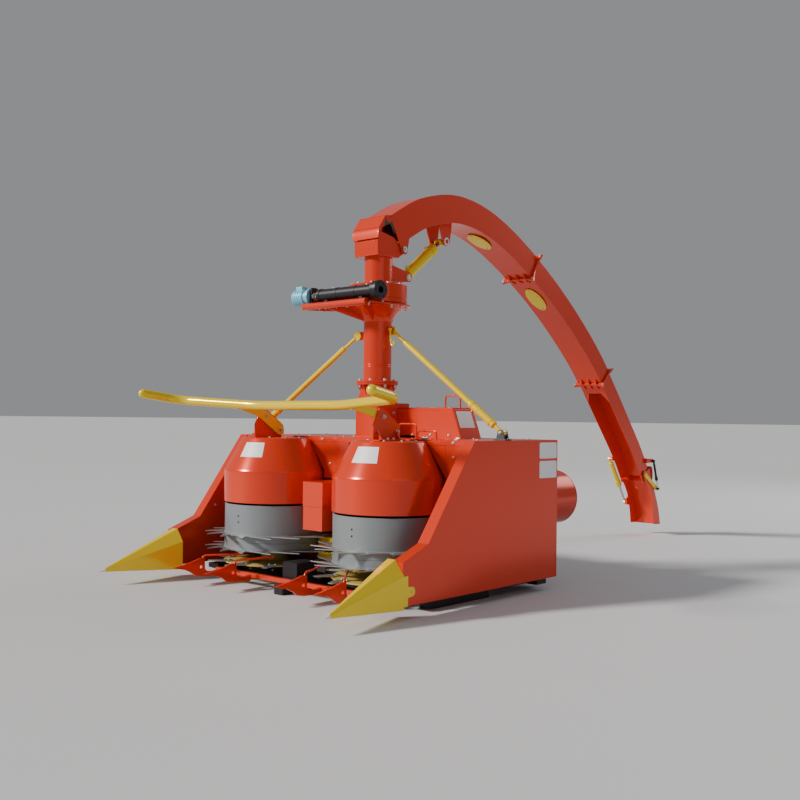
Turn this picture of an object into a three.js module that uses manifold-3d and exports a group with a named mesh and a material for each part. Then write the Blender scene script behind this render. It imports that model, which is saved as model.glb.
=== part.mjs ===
// Two-rotor forage harvester that mounts on a tractor, standing on its skids with the spout folded down.
// Millimetres, +Z up. Y = 0 of the construction is the line through both rotor axes, the dividers point
// to -Y, X = 0 is the middle of the machine. The whole group is then moved along Y so that the origin
// lies under the middle of the bounding box, on the ground.
import * as THREE from 'three';
import { mergeVertices } from 'three/addons/utils/BufferGeometryUtils.js';
import { ConvexGeometry } from 'three/addons/geometries/ConvexGeometry.js';
import Module from 'manifold-3d';

const wasm = await Module();
wasm.setup();

// ---------------------------------------------------------------- driving dimensions
const seatGap = 0.3;

const body = { halfWidth: 825, top: 736, bottom: 60, rear: 776, rim: 60, sheet: 4 };
const panelNose = { y: -367, z: 242 };
const panelBend = { y: -207, z: 305 };
const deck = { front: 106, thickness: 6, lip: 24 };

const cone = { tipX: body.halfWidth - 29.4, tipY: -785, tipZ: 67, top: 252, shoulder: 190, bottom: 48,
  inner: body.halfWidth - 135, outer: body.halfWidth + 7 };
const skid = { inner: body.halfWidth - 170, outer: body.halfWidth - 90 };

const rotor = { x: body.halfWidth - 425, drumRadius: 258, drumTop: 392, drumBottom: 146, tipRadius: 360,
  rootRadius: 274, teeth: 16 };
const drumSides = 24;
const rotorDiscs = { upper: 240, lower: 167, thickness: 4 };
const cover = { topRadius: 172, radius: 264, shoulder: 560, bottom: 402, wall: 5, bearing: 62,
  bearingDepth: 130 };
const cutter = { z: 92, thickness: 6, discRadius: 262, tipRadius: 345, knives: 10, hub: 70 };
const gearCase = { radius: 150, bottom: 30, top: 84 };

const backWall = { radius: 380, wall: 5, bottom: 100, start: 20, end: 165, throatHalf: 182, throatTop: 420 };
const centreBox = { half: 70, front: -110, bottom: 284, top: 520 };
const scraper = { front: 66, rear: 158, gap: 10, lowerBottom: 124, lowerTop: 156, upperBottom: 176,
  upperTop: 230 };

const stalk = { outer: 500, inner: 250, tipY: -560, tipZ: 95, plate: 12, rod: 5, barY: -278, barZ: 60,
  bar: 22 };

const pushBar = { radius: 23, midHalf: 300, midY: -222, midZ: 890, bendX: 765, bendY: -345, bendZ: 916 };
const pushHorn = { x: 806, y: -545, z: 946 };
const barArm = { x: 404, thickness: 10, height: 52 };
const bracket = { thickness: 8, front: -130, rear: 48, shoulder: 803, peakY: -78, peakZ: 882 };

const tower = { y: 338, radius: 73, wall: 5, baseTop: 915, coneTop: 995, flange: 110, flangeTop: 1027 };
const towerBase = { half: 78, bottom: 440 };
const platform = { top: 1420, plate: 8, radius: 168, flareBottom: 1332, shelfLeft: -320, shelfRight: 136 };
const shelf = { front: 112, rear: 262, railRadius: 17 };
const worm = { y: 150, z: 1470, radius: 30, left: -226, right: 160, cap: 48, capEnd: 197, coupling: 20 };
const motor = { radius: 45, left: -425, right: -300 };

const ring = { radius: 151, bottom: 1426, top: 1523 };
const turretTop = 1668;
const head = { half: 83, wall: 5, earRadius: 20, pinRadius: 11 };
const pinSides = 12;
const tiltPin = { y: 437, z: 1718 };
const tiltLow = { y: 536, z: 1587 };
const tiltHigh = { y: 834, z: 1821 };
const tiltCylinder = { radius: 30, rod: 15, eye: 20, halfWidth: 24, pinReach: 41.7 };

const spout = { half: 92.5, wall: 4, depthStart: 162, depthEnd: 108 };
const spoutEndHalf = 86;
const collar = { width: 26, plate: 8 };

const flapPin = { y: 3050, z: 448 };
const flapWall = { half: 95, thickness: 4, ear: 30 };
const flapCylinder = { x: -118, topY: 2920, topZ: 560, eyeY: 3147, eyeZ: 235, radius: 17, rod: 8, eye: 14 };
const returnSpring = { x: 111, topY: 3150, topZ: 546, eyeY: 3218, eyeZ: 342, radius: 8, rod: 5, eye: 9 };

const chopper = { x: 150, z: 420, radius: 330, front: 416.3, depth: 168, boxTop: 884, boxLeft: -60,
  boxRight: 442 };
const lid = { left: 46, thickness: 6 };
const gearbox = { half: 110, bottom: 330, top: 520, rear: 760 };
const driveCover = { x: 580, z: 423, radius: 142, rear: 1130 };
const hitch = { lowerX: 341.5, lowerZ: 390, topZ: 850, pinY: 850, plate: 12, beamTop: body.top - 76 };

// ---------------------------------------------------------------- finishes
function finish(color, roughness, metalness = 0) {
  return new THREE.MeshStandardMaterial({ color, roughness, metalness });
}

const redPaint = finish(0xd8321a, 0.38);
const yellowPaint = finish(0xf0cf1e, 0.42);
const greyPaint = finish(0x8b9296, 0.5);
const blackPaint = finish(0x15171a, 0.5);
const knifeSteel = finish(0x9aa0a3, 0.35, 0.8);
const motorBlue = finish(0x7fc4dc, 0.45);
const clevisGrey = finish(0x3c4450, 0.5, 0.3);
const brightSteel = finish(0xb9bcbd, 0.3, 0.9);

// ---------------------------------------------------------------- solids
function solidOf(geometry) {
  const bare = geometry.clone();
  bare.deleteAttribute('normal');
  bare.deleteAttribute('uv');
  const merged = mergeVertices(bare, 1e-3);
  const index = merged.index.array;
  const kept = [];
  for (let i = 0; i < index.length; i += 3) {
    const [a, b, c] = [index[i], index[i + 1], index[i + 2]];
    if (a !== b && b !== c && a !== c) kept.push(a, b, c);
  }
  const vertProperties = new Float32Array(merged.attributes.position.array);
  const triVerts = new Uint32Array(facesOut(vertProperties, kept));
  return new wasm.Manifold(new wasm.Mesh({ numProp: 3, vertProperties, triVerts }));
}

// Turns every triangle over if together they enclose a negative volume.
function facesOut(positions, index) {
  const corner = (i) => new THREE.Vector3().fromArray(positions, 3 * index[i]);
  let volume = 0;
  for (let i = 0; i < index.length; i += 3) volume += corner(i).dot(corner(i + 1).cross(corner(i + 2)));
  if (volume > 0) return index;
  const turnedOver = [];
  for (let i = 0; i < index.length; i += 3) turnedOver.push(index[i], index[i + 2], index[i + 1]);
  return turnedOver;
}

function geometryOf(solid) {
  const mesh = solid.getMesh();
  const geometry = new THREE.BufferGeometry();
  geometry.setAttribute('position', new THREE.BufferAttribute(new Float32Array(mesh.vertProperties), 3));
  geometry.setIndex(new THREE.BufferAttribute(new Uint32Array(mesh.triVerts), 1));
  const flat = geometry.toNonIndexed();
  flat.computeVertexNormals();
  return flat;
}

const join = (...solids) => solids.reduce((all, next) => all.add(next));
const cut = (solid, ...tools) => tools.reduce((left, tool) => left.subtract(tool), solid);

function block(x0, x1, y0, y1, z0, z1) {
  const geometry = new THREE.BoxGeometry(x1 - x0, y1 - y0, z1 - z0);
  geometry.translate((x0 + x1) / 2, (y0 + y1) / 2, (z0 + z1) / 2);
  return solidOf(geometry);
}

const toVectors = (points) => points.map(([x, y]) => new THREE.Vector2(x, y));

function extrude(points, depth) {
  return new THREE.ExtrudeGeometry(new THREE.Shape(toVectors(points)), { depth, bevelEnabled: false });
}

// An outline of (y, z) points, solid from x0 to x1.
function alongX(points, x0, x1) {
  const geometry = extrude(points, x1 - x0);
  geometry.applyMatrix4(new THREE.Matrix4().set(0, 0, 1, x0, 1, 0, 0, 0, 0, 1, 0, 0, 0, 0, 0, 1));
  return solidOf(geometry);
}

// An outline of (z, x) points, solid from y0 to y1.
function alongY(points, y0, y1) {
  const geometry = extrude(points, y1 - y0);
  geometry.applyMatrix4(new THREE.Matrix4().set(0, 1, 0, 0, 0, 0, 1, y0, 1, 0, 0, 0, 0, 0, 0, 1));
  return solidOf(geometry);
}

// An outline of (x, y) points, solid from z0 to z1.
function alongZ(points, z0, z1) {
  const geometry = extrude(points, z1 - z0);
  geometry.translate(0, 0, z0);
  return solidOf(geometry);
}

// A profile of (radius, z) points turned round the vertical line through (x, y).
function turned(profile, x, y, sides = 20) {
  const geometry = new THREE.LatheGeometry(toVectors(profile), sides);
  geometry.rotateX(Math.PI / 2);
  geometry.translate(x, y, 0);
  return solidOf(geometry);
}

// A round bar between two points, which may taper.
function bar(from, to, radius, endRadius = radius, sides = 10) {
  const start = new THREE.Vector3(...from);
  const end = new THREE.Vector3(...to);
  const geometry = new THREE.CylinderGeometry(endRadius, radius, start.distanceTo(end), sides);
  const direction = end.clone().sub(start).normalize();
  geometry.applyQuaternion(new THREE.Quaternion().setFromUnitVectors(new THREE.Vector3(0, 1, 0), direction));
  geometry.translate(...start.add(end).multiplyScalar(0.5).toArray());
  return solidOf(geometry);
}

// A bent round bar: straight stretches with a ball at each bend and, if asked, at both ends.
function bentBar(points, radius, sides = 8, roundEnds = false) {
  const pieces = [];
  for (let i = 1; i < points.length; i += 1) {
    pieces.push(bar(points[i - 1], points[i], radius, radius, sides));
  }
  const balls = roundEnds ? points : points.slice(1, -1);
  for (const centre of balls) {
    const ball = new THREE.SphereGeometry(radius, sides, sides / 2);
    ball.translate(...centre);
    pieces.push(solidOf(ball));
  }
  return join(...pieces);
}

function hull(points) {
  return solidOf(new ConvexGeometry(points.map((point) => new THREE.Vector3(...point))));
}

function circle(radius, count, centre = [0, 0]) {
  const points = [];
  for (let i = 0; i < count; i += 1) {
    const angle = (i / count) * 2 * Math.PI;
    points.push([centre[0] + radius * Math.cos(angle), centre[1] + radius * Math.sin(angle)]);
  }
  return points;
}

function arc(radius, fromDegrees, toDegrees, count, centre = [0, 0]) {
  const points = [];
  for (let i = 0; i <= count; i += 1) {
    const angle = THREE.MathUtils.degToRad(fromDegrees + ((toDegrees - fromDegrees) * i) / count);
    points.push([centre[0] + radius * Math.cos(angle), centre[1] + radius * Math.sin(angle)]);
  }
  return points;
}

// ---------------------------------------------------------------- the group and its moving bodies
const harvester = new THREE.Group();
const machine = new THREE.Group();
harvester.add(machine);

// A group whose origin, in machine coordinates, is the point that its body turns or slides about.
function movingGroup(name, parent, x, y, z) {
  const group = new THREE.Group();
  group.name = name;
  group.userData.origin = new THREE.Vector3(x, y, z);
  group.position.copy(group.userData.origin);
  if (parent.userData.origin) group.position.sub(parent.userData.origin);
  parent.add(group);
  return group;
}

// Hangs a solid in a body's group: hang() takes one that is drawn about the group's origin, and attach()
// one that is drawn in machine coordinates.
function hang(group, name, material, solid) {
  const mesh = new THREE.Mesh(geometryOf(solid), material);
  mesh.name = name;
  group.add(mesh);
  return mesh;
}

function attach(group, name, material, solid) {
  const mesh = hang(group, name, material, solid);
  if (group.userData.origin) mesh.position.sub(group.userData.origin);
}

const sides = [['left', -1], ['right', 1]];

// ---------------------------------------------------------------- underframe
function mainFrame() {
  const skidOutline = [[-60, 0], [340, 0], [340, 59.7], [-170, 59.7], [-170, 36]];
  const pieces = [];
  for (const [, side] of sides) {
    const [inner, outer] = side > 0 ? [skid.inner, skid.outer] : [-skid.outer, -skid.inner];
    pieces.push(alongX(skidOutline, inner, outer));
    pieces.push(turned([[0, gearCase.bottom], [gearCase.radius, gearCase.bottom],
      [gearCase.radius - 24, gearCase.top], [0, gearCase.top]], side * rotor.x, 0));
    pieces.push(block(inner, outer, 330, body.rear, 30, body.bottom - seatGap));
  }
  pieces.push(block(-skid.inner - 45, skid.inner + 45, -50, 50, gearCase.bottom, 56));
  pieces.push(block(-30, 30, -320, 900, 0, 48));
  pieces.push(block(-60, 60, 40, 700, 20, 84));
  pieces.push(block(-50, 50, -250, -120, 40, 144));
  const beamHalf = body.halfWidth - 25;
  pieces.push(block(-beamHalf, beamHalf, 640, 720, 30, body.bottom - seatGap));
  return join(...pieces);
}

// ---------------------------------------------------------------- sheet-metal body
const panelOutline = [[panelNose.y, body.bottom], [body.rear, body.bottom], [body.rear, body.top],
  [deck.front, body.top], [panelBend.y, panelBend.z], [panelNose.y, panelNose.z]];

// The same outline drawn in by one sheet thickness, each edge moved along its own normal.
function inset(points, distance) {
  return points.map((point, i) => {
    const before = points[(i + points.length - 1) % points.length];
    const after = points[(i + 1) % points.length];
    const first = new THREE.Vector2(point[0] - before[0], point[1] - before[1]).normalize();
    const second = new THREE.Vector2(after[0] - point[0], after[1] - point[1]).normalize();
    const across = 1 + first.dot(second);
    const step = distance / across;
    return [point[0] - (first.y + second.y) * step, point[1] + (first.x + second.x) * step];
  });
}

function sidePanel(side) {
  const inner = body.halfWidth - body.rim;
  const [x0, x1] = side > 0 ? [inner, body.halfWidth] : [-body.halfWidth, -inner];
  const [c0, c1] = side > 0 ? [inner - 1, body.halfWidth - body.sheet] :
      [body.sheet - body.halfWidth, 1 - inner];
  return cut(alongX(panelOutline, x0, x1), alongX(inset(panelOutline, body.sheet), c0, c1));
}

function dividerCone(side) {
  const base = panelNose.y - seatGap;
  const crest = (cone.inner + cone.outer) / 2;
  const ring = [[cone.inner, cone.bottom], [cone.outer, cone.bottom], [cone.outer, cone.shoulder],
    [crest + 22, cone.top], [crest - 22, cone.top], [cone.inner, cone.shoulder]];
  const points = ring.map(([x, z]) => [side * x, base, z]);
  for (const [x, z] of ring) {
    points.push([side * (cone.tipX + (x - crest) * 0.03), cone.tipY + 12, cone.tipZ + (z - 140) * 0.03]);
  }
  points.push([side * cone.tipX, cone.tipY, cone.tipZ - 4]);
  const tabOutline = [[base - 5, 60], [-338, 60], [-338, 96], [-300, 104], [-294, 120], [-300, 136],
    [-338, 142], [-338, 186], [base - 5, 186]];
  const [x0, x1] = [body.halfWidth + seatGap, body.halfWidth + 4];
  const tab = side > 0 ? alongX(tabOutline, x0, x1) : alongX(tabOutline, -x1, -x0);
  return join(hull(points), tab);
}

function deckPlate() {
  const inner = body.halfWidth - body.rim - seatGap;
  const plate = block(-inner, inner, deck.front, body.rear, body.top - deck.thickness, body.top);
  const lip = block(-inner, inner, deck.front, deck.front + 4, body.top - deck.lip, body.top);
  const holeHalf = towerBase.half + seatGap;
  const towerHole = block(-holeHalf, holeHalf, tower.y - holeHalf, chopper.front + 1, 600, 800);
  const [h0, h1] = [chopper.boxLeft - seatGap, chopper.boxRight + 60 + seatGap];
  const boxHole = block(h0, h1, chopper.front - seatGap, chopper.front + chopper.depth + seatGap, 600, 800);
  return cut(join(plate, lip), towerHole, boxHole);
}

function backWalls() {
  const pieces = [];
  const top = body.top - deck.lip - seatGap;
  for (const [, side] of sides) {
    const [from, to] = side > 0 ? [backWall.start, backWall.end] : [180 - backWall.start, 180 - backWall.end];
    const centre = [side * rotor.x, 0];
    const outside = arc(backWall.radius + backWall.wall, from, to, 10, centre);
    const inside = arc(backWall.radius, to, from, 10, centre);
    pieces.push(alongZ([...outside, ...inside], backWall.bottom, top));
  }
  const centre = rotor.x - backWall.radius * Math.cos(THREE.MathUtils.degToRad(180 - backWall.end));
  const webFront = backWall.radius * Math.sin(THREE.MathUtils.degToRad(180 - backWall.end));
  pieces.push(block(-centre - 4, centre + 4, webFront - 2, webFront + 5, backWall.bottom, top));
  const { throatHalf, throatTop, bottom } = backWall;
  const throat = block(-throatHalf, throatHalf, 80, 340, bottom - 5, throatTop);
  return cut(join(...pieces), throat);
}

function centreDivider() {
  const webFront = backWall.radius * Math.sin(THREE.MathUtils.degToRad(180 - backWall.end)) - 2;
  const { half, front, bottom, top } = centreBox;
  const seam = (bottom + top) / 2;
  const upper = block(-half, half, front, webFront - seatGap, seam, top);
  const lower = block(-half + 2, half - 2, front + 2, scraper.rear, bottom, seam);
  return join(upper, lower);
}

function scraperPlates() {
  const reach = rotor.drumRadius + scraper.gap;
  const edge = (y) => rotor.x - Math.sqrt(reach * reach - y * y);
  const rows = 8;
  const outline = [];
  for (let i = 0; i <= rows; i += 1) {
    const y = scraper.front + ((scraper.rear - scraper.front) * i) / rows;
    outline.push([edge(y), y]);
  }
  for (let i = rows; i >= 0; i -= 1) {
    const y = scraper.front + ((scraper.rear - scraper.front) * i) / rows;
    outline.push([-edge(y), y]);
  }
  const lower = alongZ(outline, scraper.lowerBottom, scraper.lowerTop);
  const upper = alongZ(outline, scraper.upperBottom, scraper.upperTop);
  const postTop = centreBox.bottom - seatGap;
  const post = block(-24, 24, scraper.rear - 34, scraper.rear, scraper.lowerBottom, postTop);
  return join(lower, upper, post);
}

// ---------------------------------------------------------------- rotors
function rotorCover(side) {
  const { topRadius, radius, shoulder, bottom, wall, bearing, bearingDepth } = cover;
  const top = body.top - deck.thickness - seatGap;
  const shell = turned([[0, top - wall], [topRadius - 3, top - wall], [radius - wall, shoulder],
    [radius - wall, bottom], [radius, bottom], [radius, shoulder], [topRadius, top], [0, top]],
  side * rotor.x, 0, 28);
  const hub = turned([[0, top - bearingDepth], [bearing, top - bearingDepth], [bearing, top - 1],
    [0, top - 1]], side * rotor.x, 0);
  const { halfWidth } = body;
  const lipCut = block(-halfWidth, halfWidth, deck.front - seatGap, 400, body.top - deck.lip - 4, body.top);
  return cut(join(shell, hub), lipCut);
}

// A flat ring of raked saw teeth.
function toothedOutline(rootRadius, tipRadius, teeth, rake, hand) {
  const points = [];
  const pitch = (2 * Math.PI) / teeth;
  for (let i = 0; i < teeth; i += 1) {
    const start = i * pitch;
    for (const [radius, angle] of [[rootRadius, start], [tipRadius, start + rake * pitch],
      [rootRadius + 6, start + 0.82 * pitch]]) {
      points.push([radius * Math.cos(angle), hand * radius * Math.sin(angle)]);
    }
  }
  return points;
}

function rotorDrum() {
  const { drumRadius, drumTop, drumBottom } = rotor;
  const shaftTop = body.top - deck.thickness - cover.bearingDepth - 2 * seatGap;
  const drum = turned([[0, drumBottom], [cutter.hub + 80, drumBottom], [drumRadius - 6, drumBottom + 16],
    [drumRadius, drumBottom + 16], [drumRadius, drumTop], [drumRadius - 8, drumTop],
    [drumRadius - 8, drumBottom + 30], [40, drumBottom + 30], [40, shaftTop], [0, shaftTop]],
  0, 0, drumSides);
  return drum;
}

// A toothed disc clamped round the drum at one height.
function toothedDisc(side, z) {
  const { drumRadius, rootRadius, tipRadius, teeth } = rotor;
  const half = rotorDiscs.thickness / 2;
  const bore = drumRadius + seatGap;
  const saw = alongZ(toothedOutline(rootRadius, tipRadius, teeth, 1.05, -side), z - half, z + half);
  return cut(saw, bar([0, 0, z - 10], [0, 0, z + 10], bore, bore, drumSides));
}

function cutterDisc(side) {
  const { z, thickness, discRadius, tipRadius, knives, hub } = cutter;
  const disc = turned([[0, gearCase.top + seatGap], [hub, gearCase.top + seatGap], [hub, z], [discRadius, z],
    [discRadius, z + thickness], [hub, z + thickness], [hub, rotor.drumBottom - seatGap],
    [0, rotor.drumBottom - seatGap]], 0, 0, 24);
  const pieces = [disc];
  const pitch = (2 * Math.PI) / knives;
  for (let i = 0; i < knives; i += 1) {
    const at = (radius, share) => {
      const angle = (i + share) * pitch;
      return [radius * Math.cos(angle), side * radius * Math.sin(angle)];
    };
    const blade = [at(discRadius - 40, 0), at(tipRadius - 26, 0.08), at(tipRadius, 0.3),
      at(tipRadius - 8, 0.5), at(discRadius - 10, 0.42), at(discRadius - 40, 0.36)];
    pieces.push(alongZ(blade, z + 1, z + thickness + 3));
  }
  return join(...pieces);
}

// ---------------------------------------------------------------- stalk dividers
function stalkPlate(x) {
  const { tipY, tipZ, plate, rod, barY, barZ } = stalk;
  const baseY = tipY + 180;
  const outline = [[tipY, tipZ], [tipY + 70, tipZ - 16], [tipY + 130, tipZ - 52], [baseY - 10, 36],
    [barY - 14, 32], [barY + 12, barZ - 10], [barY + 12, barZ + 10], [baseY + 34, 58], [baseY + 8, 74],
    [baseY + 6, 128], [baseY - 22, 128], [tipY + 90, tipZ + 14]];
  const hole = alongX(circle(9, 6, [baseY - 14, 84]), x - plate, x + plate);
  const plateSolid = cut(alongX(outline, x - plate / 2, x + plate / 2), hole);
  const inward = x > 0 ? 1 : -1;
  const isOuter = Math.abs(x) > (stalk.outer + stalk.inner) / 2;
  const end = isOuter ? [x - inward * 130, baseY + 150, 146] : [x - inward * 70, baseY + 190, 146];
  return join(plateSolid, bentBar([[x, baseY - 8, 112], [x, baseY + 2, 140], end], rod, 6, true));
}

function stalkDividers() {
  const { outer, inner, barY, barZ, bar: size } = stalk;
  const [barFront, barRear] = [barY - size / 2, barY + size / 2];
  const pieces = [block(-outer - 20, outer + 20, barFront, barRear, 48 + seatGap, barZ + size / 2)];
  for (const x of [-outer, -inner, inner, outer]) pieces.push(stalkPlate(x));
  return join(...pieces);
}

// ---------------------------------------------------------------- push bar
function barBracket(side) {
  const { thickness, front, rear, shoulder, peakY, peakZ } = bracket;
  const x = barArm.x + barArm.thickness + seatGap;
  const foot = body.top - deck.thickness;
  const outline = [[front, foot], [rear, foot], [rear, shoulder], [peakY + 14, peakZ], [peakY - 10, peakZ],
    [front, shoulder - 6]];
  const [x0, x1] = [x, x + thickness];
  const web = side > 0 ? alongX(outline, x0, x1) : alongX(outline, -x1, -x0);
  const [f0, f1] = [x0, x0 + 46];
  const [left, right] = side > 0 ? [f0, f1] : [-f1, -f0];
  const flange = block(left, right, front, rear, foot, foot + 6);
  return join(web, flange);
}

function pushBarWithArms() {
  const { radius, midHalf, midY, midZ, bendX, bendY, bendZ } = pushBar;
  const points = [];
  for (const [, side] of sides) {
    const half = [[side * pushHorn.x, pushHorn.y, pushHorn.z], [side * bendX, bendY, bendZ],
      [side * midHalf, midY, midZ]];
    points.push(...(side > 0 ? half.reverse() : half));
  }
  const pieces = [bentBar(points, radius, 8, true)];
  const share = (barArm.x - midHalf) / (bendX - midHalf);
  const atArm = { y: midY + (bendY - midY) * share, z: midZ + (bendZ - midZ) * share };
  const outline = [[56, 748], [52, 792], [-60, 866], [atArm.y + 14, atArm.z + 4], [atArm.y - 12, atArm.z - 6],
    [atArm.y - 6, atArm.z - 22], [-110, 830], [24, 742]];
  for (const [, side] of sides) {
    const [x0, x1] = side > 0 ? [barArm.x, barArm.x + barArm.thickness] :
        [-barArm.x - barArm.thickness, -barArm.x];
    pieces.push(alongX(outline, x0, x1));
  }
  return join(...pieces);
}

// ---------------------------------------------------------------- chopper and its drive
function chopperHousing() {
  const { x, z, radius, front, depth, boxTop, boxLeft, boxRight } = chopper;
  const rear = front + depth;
  const drum = alongY(circle(radius, 28, [z, x]), front, rear);
  const lower = 600;
  const box = alongY([[lower, boxLeft], [boxTop, boxLeft], [boxTop, boxRight], [body.top - 14, boxRight + 60],
    [lower, boxRight + 30]], front, rear);
  const cap = block(boxLeft + 10, lid.left - 10, front + 20, rear - 30, boxTop - 1, boxTop + 30);
  return join(drum, box, cap);
}

function chopperLid() {
  const { front, depth, boxTop, boxRight } = chopper;
  const rear = front + depth;
  const bottom = boxTop + seatGap;
  const plate = block(lid.left, boxRight - 6, front + 4, rear + 2, bottom, bottom + lid.thickness);
  const hinge = bar([lid.left + 10, rear + 4, bottom + 5], [boxRight - 16, rear + 4, bottom + 5], 5, 5, 12);
  const handleY = front + 80;
  const handle = bentBar([[332, handleY, bottom + 2], [332, handleY, 952], [428, handleY, 952],
    [428, handleY, bottom + 2]], 5, 8);
  return join(plate, hinge, handle);
}

function driveGearbox() {
  const { half, bottom, top, rear } = gearbox;
  const front = chopper.front + chopper.depth + seatGap;
  const housing = block(-half, half, front, rear - 20, bottom, top);
  const bearing = bar([0, rear - 21, (bottom + top) / 2], [0, rear, (bottom + top) / 2], 60, 60, 16);
  return join(housing, bearing);
}

function ptoShaft() {
  const z = (gearbox.bottom + gearbox.top) / 2;
  const start = gearbox.rear + seatGap;
  const spline = bar([0, start, z], [0, start + 130, z], 17.5, 17.5, 16);
  const shoulder = bar([0, start, z], [0, start + 40, z], 28, 28, 16);
  return join(spline, shoulder);
}

function driveCoverDrum() {
  const { x, z, radius, rear } = driveCover;
  const front = chopper.front + chopper.depth + seatGap;
  const shell = bar([x, front, z], [x, rear, z], radius, radius, 24);
  const bore = bar([x, front + 40, z], [x, rear + 5, z], radius - 5, radius - 5, 24);
  return cut(shell, bore);
}

// ---------------------------------------------------------------- tractor hitch
function hitchFrame() {
  const { lowerX, lowerZ, pinY, plate } = hitch;
  const [front, rear] = [body.rear - 64, body.rear];
  const under = body.top - deck.thickness - seatGap - 14;
  const inner = body.halfWidth - body.rim - seatGap;
  const pieces = [block(-inner, inner, front, rear, hitch.beamTop - 60, hitch.beamTop),
    block(-inner, inner, front, rear, 84, 144)];
  for (const [, side] of sides) {
    const post = side * lowerX;
    pieces.push(block(post - 30, post + 30, front, rear, body.bottom, under));
    for (const offset of [-30, 18]) {
      const ear = [[rear - 2, lowerZ - 60], [pinY + 10, lowerZ - 32], [pinY + 32, lowerZ],
        [pinY + 10, lowerZ + 32], [rear - 2, lowerZ + 70]];
      const at = side * lowerX + (side > 0 ? offset : -offset - plate);
      pieces.push(alongX(ear, at, at + plate));
    }
    pieces.push(bar([side * lowerX - 34, pinY, lowerZ], [side * lowerX + 34, pinY, lowerZ], 14, 14, 12));
  }
  return join(...pieces);
}

function topLinkMast() {
  const { topZ, pinY, plate, beamTop } = hitch;
  const back = body.rear + seatGap;
  const pieces = [bar([-40, pinY, topZ], [40, pinY, topZ], 11, 11, 12),
    block(-36, 36, back, back + 8, beamTop - 56, beamTop - 6)];
  for (const [, side] of sides) {
    const mast = [[back, beamTop - 56], [back + 60, beamTop - 10], [pinY + 24, topZ - 30],
      [pinY + 24, topZ + 16], [pinY - 24, topZ + 16], [back, beamTop + 60]];
    pieces.push(side > 0 ? alongX(mast, 24, 24 + plate) : alongX(mast, -24 - plate, -24));
  }
  return join(...pieces);
}

// ---------------------------------------------------------------- tower and slew drive
function towerFoot() {
  const { y, baseTop, coneTop, flange, flangeTop, radius } = tower;
  const half = towerBase.half;
  const outer = block(-half, half, y - half, y + half, towerBase.bottom, baseTop);
  const corners = [[-half, y - half], [half, y - half], [half, y + half], [-half, y + half]];
  const transition = hull([...corners.map(([x, cy]) => [x, cy, baseTop - 1]),
    ...circle(radius + 9, 20, [0, y]).map(([x, cy]) => [x, cy, coneTop])]);
  const neck = bar([0, y, coneTop - 1], [0, y, flangeTop - 20], radius + 9, radius + 9, 20);
  const ringPlate = bar([0, y, flangeTop - 22], [0, y, flangeTop - 11 - seatGap], flange, flange, 20);
  const bore = block(-half + 6, half - 6, y - half + 6, y + half - 6, towerBase.bottom + 6, baseTop - 6);
  const inner = radius - tower.wall;
  const throat = bar([0, y, baseTop - 12], [0, y, flangeTop + 5], inner, inner, 20);
  const inlet = block(-half + 6, half - 6, y, y + half + 5, towerBase.bottom + 20, chopper.boxTop - 240);
  return cut(join(outer, transition, neck, ringPlate), bore, throat, inlet);
}

function towerTube() {
  const { y, radius, wall, flange, flangeTop } = tower;
  const bottom = flangeTop - 11;
  const tube = turned([[radius - wall, bottom], [flange, bottom], [flange, flangeTop], [radius, flangeTop],
    [radius, platform.top], [radius - wall, platform.top], [radius - wall, bottom]], 0, y);
  const rightLug = block(radius - 3, 108, y - 8, y + 2, 1262, 1306);
  const leftLug = block(-106, 14 - radius, y - 42, y - 32, 1240, 1284);
  return join(tube, rightLug, leftLug);
}

function slewPlatform() {
  const { top, plate, radius, flareBottom, shelfLeft, shelfRight } = platform;
  const y = tower.y;
  const tubeGap = tower.radius + seatGap;
  const flare = turned([[tubeGap, flareBottom], [tubeGap + 5, flareBottom], [tubeGap + 14, flareBottom + 26],
    [tubeGap + 40, flareBottom + 54], [radius - 8, top - plate], [radius, top - plate], [radius, top],
    [tubeGap, top], [tubeGap, flareBottom]], 0, y);
  const shelfPlate = block(shelfLeft, shelfRight, shelf.front, shelf.rear, top - plate, top);
  const { railRadius } = shelf;
  const rail = bar([shelfLeft - 4, shelf.front, top - 6], [shelfRight, shelf.front, top - 6], railRadius,
    railRadius, 16);
  const pieces = [flare, shelfPlate, rail];
  for (const x of [shelfLeft + 10, -150, 100]) {
    const toTower = new THREE.Vector2(-x, y - shelf.front).normalize();
    const foot = [toTower.x * -(tower.radius + 4), y - toTower.y * (tower.radius + 4)];
    const across = [toTower.y * 4, -toTower.x * 4];
    const start = [x, shelf.front + 10];
    const points = [];
    for (const sign of [-1, 1]) {
      points.push([start[0] + sign * across[0], start[1] + sign * across[1], top - plate]);
      points.push([foot[0] + sign * across[0], foot[1] + sign * across[1], top - plate]);
      points.push([start[0] + sign * across[0], start[1] + sign * across[1], top - plate - 16]);
      points.push([foot[0] + sign * across[0], foot[1] + sign * across[1], flareBottom + 6]);
    }
    pieces.push(hull(points));
  }
  const bore = bar([0, y, flareBottom - 50], [0, y, top + 5], tubeGap, tubeGap, 20);
  return cut(join(...pieces), bore);
}

function wormHousing() {
  const { y, z, radius, left, right, cap, capEnd, coupling } = worm;
  const seat = platform.top + seatGap;
  const pieces = [bar([left, y, z], [right, y, z], radius, radius, 16),
    bar([right - 2, y, z], [capEnd, y, z], cap, cap, 16),
    bar([motor.right + 14, y, z], [left + 2, y, z], coupling, coupling, 12),
    bar([left - 12, y, z], [left + 8, y, z], radius + 4, radius + 4, 12)];
  const footFront = shelf.front + shelf.railRadius + 1;
  for (const x of [-190, 60]) pieces.push(block(x, x + 24, footFront, y + 24, seat, z - radius + 8));
  pieces.push(block(motor.right + seatGap, motor.right + 16, footFront, y + 30, seat, z + 46));
  return join(...pieces);
}

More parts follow.
